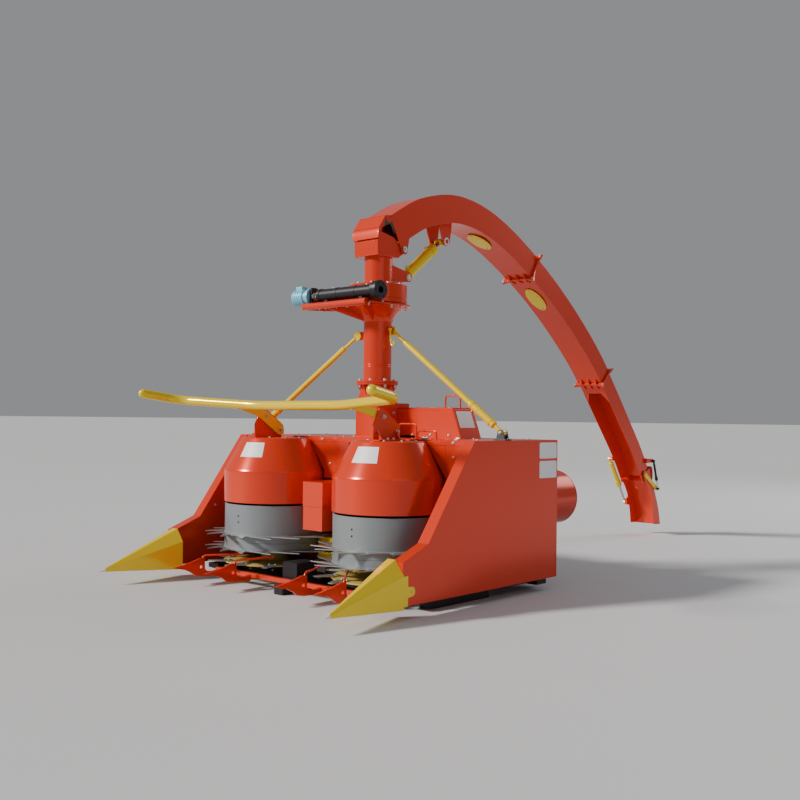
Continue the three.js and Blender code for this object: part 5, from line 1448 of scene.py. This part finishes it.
    def motor(self):
        y, z = 0.15, 1.47
        small = self.sizes.small_bolt
        axis = Matrix.Translation(place(0, y, z)) @ Matrix.Rotation(math.pi / 2, 4, "Y")
        piece = Piece("slew_motor", "frame", "motor_blue", "zinc", "black_paint")
        profile = mm((0, -425), (30, -425), (41, -422), (44, -418))
        for k in range(5):
            x = -0.408 + k * 0.016
            profile += [(0.044, x), (0.0415, x + 1.5 * MM), (0.0415, x + 3.5 * MM), (0.044, x + 5 * MM)]
        profile += mm((44, -340), (38, -337), (38, -316.5), (44, -316), (45, -314.5), (45, -301.5),
                      (44, -300), (0, -300))
        piece.lathe(profile, axis, 64)
        piece.block(place(-0.405, y - 0.022, z + 0.036), place(-0.359, y + 0.022, z + 0.057), 0, 2.5 * MM)
        for x in (-0.394, -0.37):
            piece.lathe(mm((0, 0), (7, 0), (7, 1.2), (5, 2), (0, 2)), pointing(place(x, y, z + 0.057), UP),
                        20, 2)
        for a in (45, 135, 225, 315):
            angle = math.radians(a)
            piece.bolt(place(-0.3165, y + 0.0365 * math.cos(angle), z + 0.0365 * math.sin(angle)), -RIGHT,
                       small * 0.8, 1)
            piece.bolt(place(-0.4235, y + 0.028 * math.cos(angle), z + 0.028 * math.sin(angle)), -RIGHT,
                       small * 0.16, 1)
        piece.done()


class HARVESTER_OT_stays(Make, bpy.types.Operator):
    """Makes the two telescoping stays between the tower and the body."""

    bl_idname = "harvester.stays"
    bl_label = "Stays"

    def execute(self, context):
        self.stay("stay_right", (0.1, 0.3453, 1.284), (0.78, 0.375, 0.77))
        self.stay("stay_left", (-0.098, 0.2907, 1.262), (-0.735, 0.165, 0.77))
        return {"FINISHED"}

    def stay(self, name, eye, foot):
        bolt = self.sizes.bolt
        start, end = place(*eye), place(*foot)
        piece = Piece(name, "frame", "yellow_paint", "clevis_grey", "zinc")
        length = (end - start).length
        axis = pointing(start, end - start)
        at = [share * length for share in (0.022, 0.12, 0.135, 0.725, 0.74, 0.93, 1.0)]
        piece.lathe([(0, at[0]), (9 * MM, at[0]), (9 * MM, at[1]), (0.0145, at[1] + 4 * MM), (0.015, at[2]),
                     (0.015, at[3]), (0.0185, at[3] + 1 * MM), (0.019, at[3] + 3 * MM),
                     (0.019, at[5] - 2 * MM), (0.0175, at[5]), (0.01, at[5] + 0.5 * MM), (0.01, at[6]),
                     (0, at[6])], axis, 40)
        for share in (0.745, 0.8, 0.9):
            w = share * length
            piece.lathe([(0.0185, w - 5 * MM), (0.021, w - 4 * MM), (0.021, w + 4 * MM),
                         (0.0185, w + 5 * MM)], axis, 6 if share == 0.8 else 40)
        up = REAR.cross(end - start).normalized()
        piece.tube([axis @ Vector((0, 0, 0.76 * length)) + up * 0.019,
                    axis @ Vector((0, 0, 0.76 * length)) + up * 0.033], 3 * MM, 0, 12)
        hand = REAR
        piece.rod(start - hand * 5 * MM, start + hand * 5 * MM, 0.024, 0, sides=40)
        piece.bolt(start + hand * 5 * MM, hand, bolt, 2, nut=True, stud=3 * MM)
        piece.rod(end - hand * 0.0118, end + hand * 0.0118, 0.016, 0, sides=32)
        x, y, z = foot
        base = 0.7363
        plate = [(x - 0.034, y - 0.024), (x + 0.034, y - 0.024), (x + 0.034, y + 0.024),
                 (x - 0.034, y + 0.024)]
        piece.prism(plate, across_z(base), 6 * MM, 1, 1 * MM)
        for offset in (-0.02, 0.012):
            cheek = [(base + 5 * MM, x - 0.024), (base + 5 * MM, x + 0.024), (z, x + 0.0165),
                     *[(z + 0.0165 * math.sin(a), x + 0.0165 * math.cos(a))
                       for a in (i * math.pi / 8 for i in range(1, 8))], (z, x - 0.0165)]
            piece.prism(cheek, across_y(y + offset), 8 * MM, 1, 1 * MM)
        piece.bolt(end + hand * 0.02, hand, 8 * MM, 2)
        piece.bolt(end - hand * 0.02, -hand, 8 * MM, 2, nut=True, stud=4 * MM)
        for sign in (-1, 1):
            piece.bolt(place(x + sign * 0.0285, y, base + 6 * MM), UP, 5 * MM, 2)
        piece.done()


class HARVESTER_OT_turret(Make, bpy.types.Operator):
    """Builds the turning tube with its ring and brackets, and the open head the spout tilts in."""

    bl_idname = "harvester.turret"
    bl_label = "Turret"

    def execute(self, context):
        bolt = self.sizes.bolt
        axis = upright(0, TOWER_Y)
        top = 1.668
        piece = Piece("turret_tube", "turret", "red_paint", "zinc", "black_paint")
        piece.lathe([*mm((68, 1420.3), (100, 1420.3), (100, 1426), (149, 1426), (151, 1428), (151, 1446),
                         (149.5, 1447.5), (149.5, 1450.5), (151, 1452), (151, 1521), (149, 1523),
                         (77.5, 1523)), (TOWER_RADIUS, 1.5275), (TOWER_RADIUS, top - 0.5 * MM),
                     (TOWER_RADIUS - 0.5 * MM, top), (0.068, top)], axis, 96)
        ring_of_bolts(piece, place(0, TOWER_Y, 1.523), 0.132, 10, UP, bolt * 0.9, 1, 0.2)
        gap = 0.0243
        outline = [(TOWER_Y + 0.059, top - 0.026), (TILT_LOW[0] + 0.008, TILT_LOW[1] + 0.026),
                   *arc(0.0268, 62, -55, 8, TILT_LOW), (TOWER_Y + 0.059, top - 0.12)]
        for _, side in SIDES:
            piece.side_plate(outline, side, gap, 8 * MM, 0, 1.2 * MM)
            for z in (top - 0.026, top - 0.12):
                piece.seam((side * (gap + 4 * MM), TOWER_Y + 0.066, z),
                           (side * (gap + 4 * MM), TOWER_Y + 0.078, z), 2.5 * MM)
        pin = [place(side * (gap + 8 * MM + 9 * MM), *TILT_LOW) for _, side in SIDES]
        piece.rod(pin[0], pin[1], 11 * MM, 1)
        for _, side in SIDES:
            piece.rod(place(side * (gap + 8.2 * MM), *TILT_LOW), place(side * (gap + 13 * MM), *TILT_LOW),
                      0.018, 1)
        piece.done()
        self.head(top + 0.3 * MM)
        return {"FINISHED"}

    @staticmethod
    def head(bottom):
        half, wall = 0.083, 5 * MM
        piece = Piece("turret_head", "turret", "red_paint", "zinc", "bright_steel")
        ear = arc(0.02, 100, -40, 12, TILT_PIN)
        outline = [(0.246, bottom), *mm((243, 1700), (243, 1750), (258, 1751), (266, 1790), (363, 1772),
                                        (415, 1741)), *ear, (0.398, bottom)]
        for _, side in SIDES:
            piece.side_plate(outline, side, half - wall, wall, 0, 1 * MM)
        inner = half - wall
        front = [(0.246, bottom), *mm((243, 1700), (243, 1750), (258, 1751), (266, 1790), (268.5, 1788.5),
                                      (262, 1746), (248, 1745), (248, 1700)), (0.251, bottom + wall),
                 (0.251, bottom)]
        piece.sheet(front, inner, 0.6 * MM)
        rear = [(0.393, bottom + 1 * MM), (0.398, bottom + 1 * MM), (0.4205, bottom + 0.026),
                (0.4205, 1.712)]
        piece.sheet(rear, inner, 0.6 * MM)
        plate = [(-half + 2 * MM, 0.246), (half - 2 * MM, 0.246), (half - 2 * MM, 0.398),
                 (2 * MM - half, 0.398)]
        hole = [(x, y + TOWER_Y) for x, y in circle(0.068, 64)]
        piece.prism(plate, across_z(bottom), wall, 0, 0.6 * MM, hole)
        piece.prism(mm((-60, 242.5), (60, 242.5), (60, 245), (-60, 245)), across_z(1.706), 0.036, 0,
                    0.8 * MM)
        rim = [place(-half + 2 * MM, 0.2435, bottom + 1 * MM),
               place(half - 2 * MM, 0.2435, bottom + 1 * MM)]
        piece.weld(rim, 2 * MM)
        for _, side in SIDES:
            piece.seam((side * (half - 1 * MM), 0.249, bottom + 1 * MM),
                       (side * (half - 1 * MM), 0.397, bottom + 1 * MM), 2 * MM)
            at = place(side * (half - 3 * MM), *TILT_PIN)
            out = Vector((side, 0, 0))
            piece.rod(at, at + out * 0.0155, 11 * MM, 2)
            piece.rod(at + out * 0.0156, at + out * 0.0186, 0.0165, 1)
            piece.bolt(at + out * 0.0178, out, 8 * MM, 1)
        piece.done()


# ---------------------------------------------------------------- spout
class HARVESTER_OT_spout(Make, bpy.types.Operator):
    """Folds the three lengths of the spout and bolts them together."""

    bl_idname = "harvester.spout"
    bl_label = "Spout"

    def execute(self, context):
        wall, small = self.sizes.spout_wall, self.sizes.small_bolt
        self.arch(wall, small)
        middle = Piece("spout_middle", "spout", "red_paint", "zinc")
        gap = 0.15 * MM / SPOUT.length
        duct_walls(middle, FIRST_COLLAR + gap, SECOND_COLLAR - gap, MIDDLE_HALF, wall, 40)
        collar(middle, FIRST_COLLAR, MIDDLE_HALF, True, small * 1.2, 1)
        collar(middle, SECOND_COLLAR, MIDDLE_HALF, False, small * 1.2, 1)
        middle.done()
        self.open_end(wall, small, gap)
        self.covers(small)
        return {"FINISHED"}

    @staticmethod
    def arch(wall, small):
        piece = Piece("spout_arch", "spout", "red_paint", "zinc", "dark_seal")
        half, steps = ARCH_HALF, 60
        end = FIRST_COLLAR - 0.15 * MM / SPOUT.length
        lower = [p for p in SPOUT.run(0.0, end, SPOUT.depth, steps) if p[0] > 0.478]
        first_share = next(i / 400 for i in range(400) if SPOUT.inward(i / 400,
                                                                       SPOUT.depth(i / 400))[0] > 0.458)
        bore = circle(11.6 * MM, 24, TILT_PIN)
        outline = SPOUT.run(0.0, end, 0.0, steps) + lower[::-1] + [(0.476, 1.786)] + arc(0.026, 370, 170,
                                                                                         16, TILT_PIN)
        outline.append((0.404, 1.7335))
        for _, side in SIDES:
            piece.side_plate(outline, side, half - wall, wall, 0, 0.5 * MM, bore)
        inner = half - wall
        outer_and_inner(piece, 0.0, first_share, end, inner, wall, steps)
        visor = mm((234, 1752), (237, 1782), (243, 1809), (288, 1875), (330, 1881), (336, 1850),
                   (329, 1842), (268, 1811), (258, 1786), (252, 1752))
        for _, side in SIDES:
            piece.side_plate(visor, side, half - wall, wall, 0, 0.6 * MM)
        front = visor[:5] + mm((330, 1877), (290, 1870.5), (247, 1807), (241, 1782), (238, 1752))
        piece.sheet(front, inner, 0.5 * MM)
        for y, z in ((0.2415, 1.808), (0.2865, 1.8745)):
            piece.seam((-half + 3 * MM, y, z), (half - 3 * MM, y, z), 1.6 * MM)
        # Thin near-black sheets on both sides, painted shade where the gap between the visor and the duct
        # lies in shadow.
        gap_shade_outline = mm((281, 1818), (324, 1836), (346, 1803), (362, 1780), (352, 1822), (340, 1852), (326, 1842),
                  (300, 1846), (288, 1868), (286, 1842))
        for _, side in SIDES:
            piece.side_plate(gap_shade_outline, side, half - 0.4 * MM, 1 * MM, 2, 0)
        lug = [*mm((775, 1940), (878, 1940), (878, 1900), (862, 1812)),
               *arc(0.0262, -20, -160, 10, (0.834, 1.8231)), (0.806, 1.812), (0.775, 1.89)]
        for x in (0.042, -0.05):
            piece.prism(lug, across_x(x), 8 * MM, 0, 1.2 * MM)
            for y in (0.775, 0.878):
                piece.seam((x + 4 * MM, y, 1.915), (x + 4 * MM, y, 1.898), 2.2 * MM)
        for _, side in SIDES:
            at = place(side * 0.0502, *TILT_HIGH)
            piece.lathe(mm((12.5, 0), (22, 0), (22, 2), (12.5, 2)), pointing(at, (side, 0, 0)), 40, 1)
        collar(piece, FIRST_COLLAR, half, False, small * 1.2, 1)
        piece.done()

    @staticmethod
    def open_end(wall, small, gap):
        piece = Piece("spout_open_end", "spout", "red_paint", "zinc", "yellow_paint")
        half, steps = END_HALF, 44
        start = SECOND_COLLAR + gap
        closed_to = SECOND_COLLAR + 0.09 / SPOUT.length
        hinge = circle(0.044, 48, FLAP_PIN)
        upper = SPOUT.run(start, OPEN_END, 0.0, steps)
        lower = SPOUT.run(start, OPEN_END, SPOUT.depth, steps)
        for _, side in SIDES:
            piece.side_plate(upper + lower[::-1], side, half - wall, wall, 0, 0.5 * MM)
            piece.side_plate(hinge, side, half - wall + 0.3 * MM, wall)
        inner = half - wall
        piece.sheet(ribbon(start, OPEN_END, 0.0, wall, steps), inner, 0.4 * MM)
        piece.sheet(ribbon(start, closed_to, lambda s: SPOUT.depth(s) - wall, SPOUT.depth, 8), inner,
                    0.4 * MM)
        for _, side in SIDES:
            bead_along(piece, side * inner, start, OPEN_END, 1.2 * MM, steps)
            lip = [place(side * (half - 0.5 * wall), y, z) for y, z in SPOUT.run(closed_to, OPEN_END - 0.02,
                                                                                 SPOUT.depth, steps)]
            piece.tube(lip, 2.6 * MM, sides=10)
        matrix, depth = SPOUT.frame(closed_to), SPOUT.depth(closed_to)
        corner = [(inner + 0.5 * MM, -2 * MM), (inner - 0.036, -2 * MM), (inner + 0.5 * MM, 0.085)]
        for _, side in SIDES:
            piece.skin([[matrix @ Vector((side * u, v, w)) for u, w in corner]
                        for v in (depth - wall, depth)], 0, 0.5 * MM)
        collar(piece, SECOND_COLLAR, half, True, small * 1.2, 1)
        x, top_y, top_z, radius = -0.118, 2.92, 0.56, 0.017
        arm = [(top_y - 0.014, top_z - 0.012), (top_y - 0.014, top_z + 0.014),
               (top_y + 0.01, top_z + 0.024), (3.012, top_z + 0.014), (3.012, top_z - 0.034),
               (top_y + 0.012, top_z - 0.014)]
        piece.prism(arm, across_x(x + radius + 6 * MM), 1 * MM - half - (x + radius + 6 * MM), 0, 0.8 * MM)
        piece.rod(place(x + 8.3 * MM, top_y, top_z), place(x + radius + 7 * MM, top_y, top_z), 0.012, 0)
        spring_arm = mm((3062, 532), (3062, 566), (3162, 560), (3162, 534))
        piece.prism(spring_arm, across_x(half - 1 * MM), 0.1027 - half + 1 * MM, 0, 1 * MM)
        for _, side in SIDES:
            for angle in (60, 200, 320):
                a = math.radians(angle)
                at = place(side * (half + 0.3 * MM), FLAP_PIN[0] + 0.034 * math.cos(a),
                           FLAP_PIN[1] + 0.034 * math.sin(a))
                piece.lathe(mm((0, 0), (3.5, 0), (2.6, 1.4), (0, 1.7)), pointing(at, (side, 0, 0)), 16, 1)
        piece.done()

    @staticmethod
    def covers(small):
        for name, share in (("inspection_cover_upper", 0.25), ("inspection_cover_lower", 0.43)):
            piece = Piece(name, "spout", "yellow_paint", "zinc")
            reach = 0.112 / SPOUT.length
            first, last = (Vector(SPOUT.inward(s, SPOUT.depth(s))) for s in (share - reach, share + reach))
            along = (last - first).normalized()
            centre = (first + last) / 2
            long_half = (last - first).length / 2
            matrix = Matrix(((1, 0, 0, 0), (0, along.x, along.y, ROTOR_LINE + centre.x),
                             (0, along.y, -along.x, centre.y), (0, 0, 0, 1)))
            oval = [(0.05 * u, long_half * v) for u, v in circle(1, 64)]
            piece.prism(oval, matrix @ Matrix.Translation((0, 0, 2 * MM)), 5 * MM, 0, 1.4 * MM)
            inset = [(0.037 * u, (long_half - 0.034) * v) for u, v in circle(1, 48)]
            piece.prism(inset, matrix @ Matrix.Translation((0, 0, 6.5 * MM)), 2 * MM, 0, 1.2 * MM)
            for v in (-1, 1):
                piece.bolt(matrix @ Vector((0, v * (long_half - 0.016), 7 * MM)), matrix.to_3x3() @ UP,
                           small * 0.9, 1)
            piece.done()


# ---------------------------------------------------------------- cylinders and flap
class HARVESTER_OT_cylinders(Make, bpy.types.Operator):
    """Turns the tilt cylinder, the flap cylinder and the gas spring."""

    bl_idname = "harvester.cylinders"
    bl_label = "Cylinders"

    def execute(self, context):
        self.cylinder("tilt_cylinder", "tilt", 0.0, TILT_LOW, TILT_HIGH, (0.82, 0.3), (0.03, 0.015, 0.02),
                      0.024, 0.0417, "yellow_paint")
        self.cylinder("flap_cylinder", "flap", -0.118, (2.92, 0.56), (3.147, 0.235), (0.62, 0.38),
                      (0.017, 0.008, 0.014), 8 * MM, 8 * MM, "yellow_paint")
        self.cylinder("return_spring", "spring", 0.111, (3.15, 0.546), (3.218, 0.342), (0.7, 0.23),
                      (0.008, 0.005, 0.009), 8 * MM, 8 * MM, "black_paint")
        return {"FINISHED"}

    @staticmethod
    def cylinder(node, body, x, low, high, shares, radii, half_width, pin_reach, finish):
        """A barrel with a blind bore, and a rod with its piston; both eyes lie across X."""
        end_share, start_share = shares
        radius, rod, eye = radii
        start, end = place(x, *low), place(x, *high)
        length = (end - start).length
        axis = pointing(start, end - start)
        barrel = Piece(f"{node}_barrel" if node != "tilt_cylinder" else node, f"{body}_barrel", finish,
                       "zinc")
        out = RIGHT
        disc = [(eye - 1 * MM, -half_width), (eye, 1 * MM - half_width), (eye, half_width - 1 * MM),
                (eye - 1 * MM, half_width)]
        barrel.lathe([(0.4 * eye, -half_width), *disc, (0.4 * eye, half_width)], pointing(start, out), 40)
        neck = min(half_width, eye) * 0.85
        last, gland, bore = end_share * length, 0.12 * length, 0.66 * radius
        tight = rod + 0.4 * MM
        barrel.lathe([(0, 0.5 * eye), (neck, 0.5 * eye), (neck, 0.085 * length),
                      (radius * 0.86, 0.09 * length), (radius, 0.1 * length), (radius, last - gland),
                      (radius + 3 * MM, last - gland + 1.5 * MM), (radius + 3 * MM, last - 2 * MM),
                      (radius + 1.5 * MM, last), (tight, last), (tight, last - 0.02 * length),
                      (bore, last - 0.03 * length), (bore, 0.13 * length), (0, 0.13 * length)], axis, 48)
        upward = (axis.to_3x3() @ UP).cross(out).normalized()
        if upward.z < 0:
            upward = -upward
        if radius > 0.012:
            for share in (0.15, end_share - 0.15):
                at = axis @ Vector((0, 0, share * length)) + upward * (radius - 2 * MM)
                port = 0.3 * radius
                barrel.rod(at, at + upward * (0.34 * radius), port, 0, sides=24)
                top = at + upward * (0.34 * radius)
                barrel.lathe([(0, 0), (0.85 * port, 0), (0.85 * port, 0.6 * port), (0.5 * port, 0.7 * port),
                              (0, 0.7 * port)], pointing(top, upward), 6, 1)
        barrel.done()
        name = f"{node}_rod"
        piece = Piece(name, f"{body}_rod", "bright_steel", "zinc", finish)
        first = start_share * length
        piece.lathe([(0, first), (0.6 * radius, first), (0.6 * radius, first + 0.08 * length),
                     (rod, first + 0.085 * length), (rod, length - 0.6 * eye), (0, length - 0.6 * eye)],
                    axis, 40)
        piece.lathe([(0, -half_width), *disc, (0, half_width)], pointing(end, out), 40, 2)
        if pin_reach > half_width:
            piece.rod(end - out * pin_reach, end + out * pin_reach, 0.55 * eye, 0, sides=32)
        piece.done()


class HARVESTER_OT_flap(Make, bpy.types.Operator):
    """Folds the deflector flap at the spout's tip, with the arm of its spring."""

    bl_idname = "harvester.flap"
    bl_label = "Deflector flap"

    def execute(self, context):
        half, sheet, small = 0.095, 4 * MM, self.sizes.small_bolt
        piece = Piece("deflector_flap", "flap", "red_paint", "zinc", "yellow_paint")
        outer = mm((3158, 400), (3182, 356), (3204, 311), (3231, 255), (3256, 197), (3271, 140), (3284, 79))
        inner = mm((3190, 83), (3176, 175), (3155, 266), (3130, 314), (3100, 360), (3040, 420))
        y, z = FLAP_PIN
        guard = arc(0.118, 30, -20, 12, FLAP_PIN)
        outline = guard + outer + inner + [(y - 0.026, z + 0.01), (y - 0.018, z + 0.024),
                                           (y - 0.008, z + 0.03), (y + 0.006, z + 0.03),
                                           (y + 0.018, z + 0.024)]
        back = guard + outer + [(py - sheet - 1 * MM, pz - 2 * MM) for py, pz in outer][::-1]
        back += arc(0.118 - sheet, -24, 30, 12, FLAP_PIN)
        piece.sheet(back, half - sheet, 0.5 * MM)
        for _, side in SIDES:
            piece.side_plate(outline, side, half - sheet, sheet)
            piece.rod(place(side * (END_HALF + 4.6 * MM), y, z), place(side * half, y, z), 0.012, 1)
            piece.weld([place(side * (half - 1 * MM), *p) for p in outer], 1.6 * MM)
        lug = mm((3128, 258), (3150, 262), (3190, 292), (3196, 230), (3160, 214), (3134, 218))
        piece.prism(lug, across_x(-0.1097), 0.1097 + 2 * MM - half, 0, 0.8 * MM)
        piece.rod(place(-0.1102, 3.147, 0.235), place(-0.1062, 3.147, 0.235), 0.01, 1)
        hem = [place(-half + 6 * MM, outer[-1][0] - 3 * MM, outer[-1][1] + 3 * MM),
               place(half - 6 * MM, outer[-1][0] - 3 * MM, outer[-1][1] + 3 * MM)]
        piece.tube(hem, 2.6 * MM, 0, 12)
        piece.done()
        arm = Piece("flap_arm", "flap", "yellow_paint", "zinc")
        eye_y, eye_z = 3.218, 0.342
        outline = [*arc(0.016, 60, 240, 12, FLAP_PIN), (eye_y - 0.01, eye_z - 0.012),
                   *arc(0.0135, -100, 40, 8, (eye_y + 0.001, eye_z))]
        arm.prism(outline, across_x(0.0953), 7.4 * MM, 0, 0.8 * MM)
        arm.bolt(place(0.1027, *FLAP_PIN), RIGHT, small, 1)
        arm.done()
        return {"FINISHED"}


# ---------------------------------------------------------------- panel and running order
# The operators run in the order in which their classes stand above.
OPERATORS = tuple(Make.__subclasses__())


class HARVESTER_PT_panel(bpy.types.Panel):
    """Lists the sizes, the colours and the pieces."""

    bl_idname = "HARVESTER_PT_panel"
    bl_label = "Forage harvester"
    bl_space_type = "VIEW_3D"
    bl_region_type = "UI"
    bl_category = "Harvester"

    def draw(self, context):
        scene = context.scene
        for group in (scene.harvester_sizes, scene.harvester_colours):
            box = self.layout.box()
            for name in group.__annotations__:
                box.prop(group, name)
        column = self.layout.column(align=True)
        for operator in OPERATORS:
            column.operator(operator.bl_idname)


CLASSES = (HARVESTER_PG_sizes, HARVESTER_PG_colours, *OPERATORS, HARVESTER_PT_panel)


def register():
    for cls in CLASSES:
        bpy.utils.register_class(cls)
    bpy.types.Scene.harvester_sizes = bpy.props.PointerProperty(type=HARVESTER_PG_sizes)
    bpy.types.Scene.harvester_colours = bpy.props.PointerProperty(type=HARVESTER_PG_colours)


def unregister():
    del bpy.types.Scene.harvester_colours
    del bpy.types.Scene.harvester_sizes
    for cls in reversed(CLASSES):
        bpy.utils.unregister_class(cls)


def main():
    register()
    for operator in OPERATORS:
        getattr(bpy.ops.harvester, operator.bl_idname.split(".")[1])()


if __name__ == "__main__":
    main()
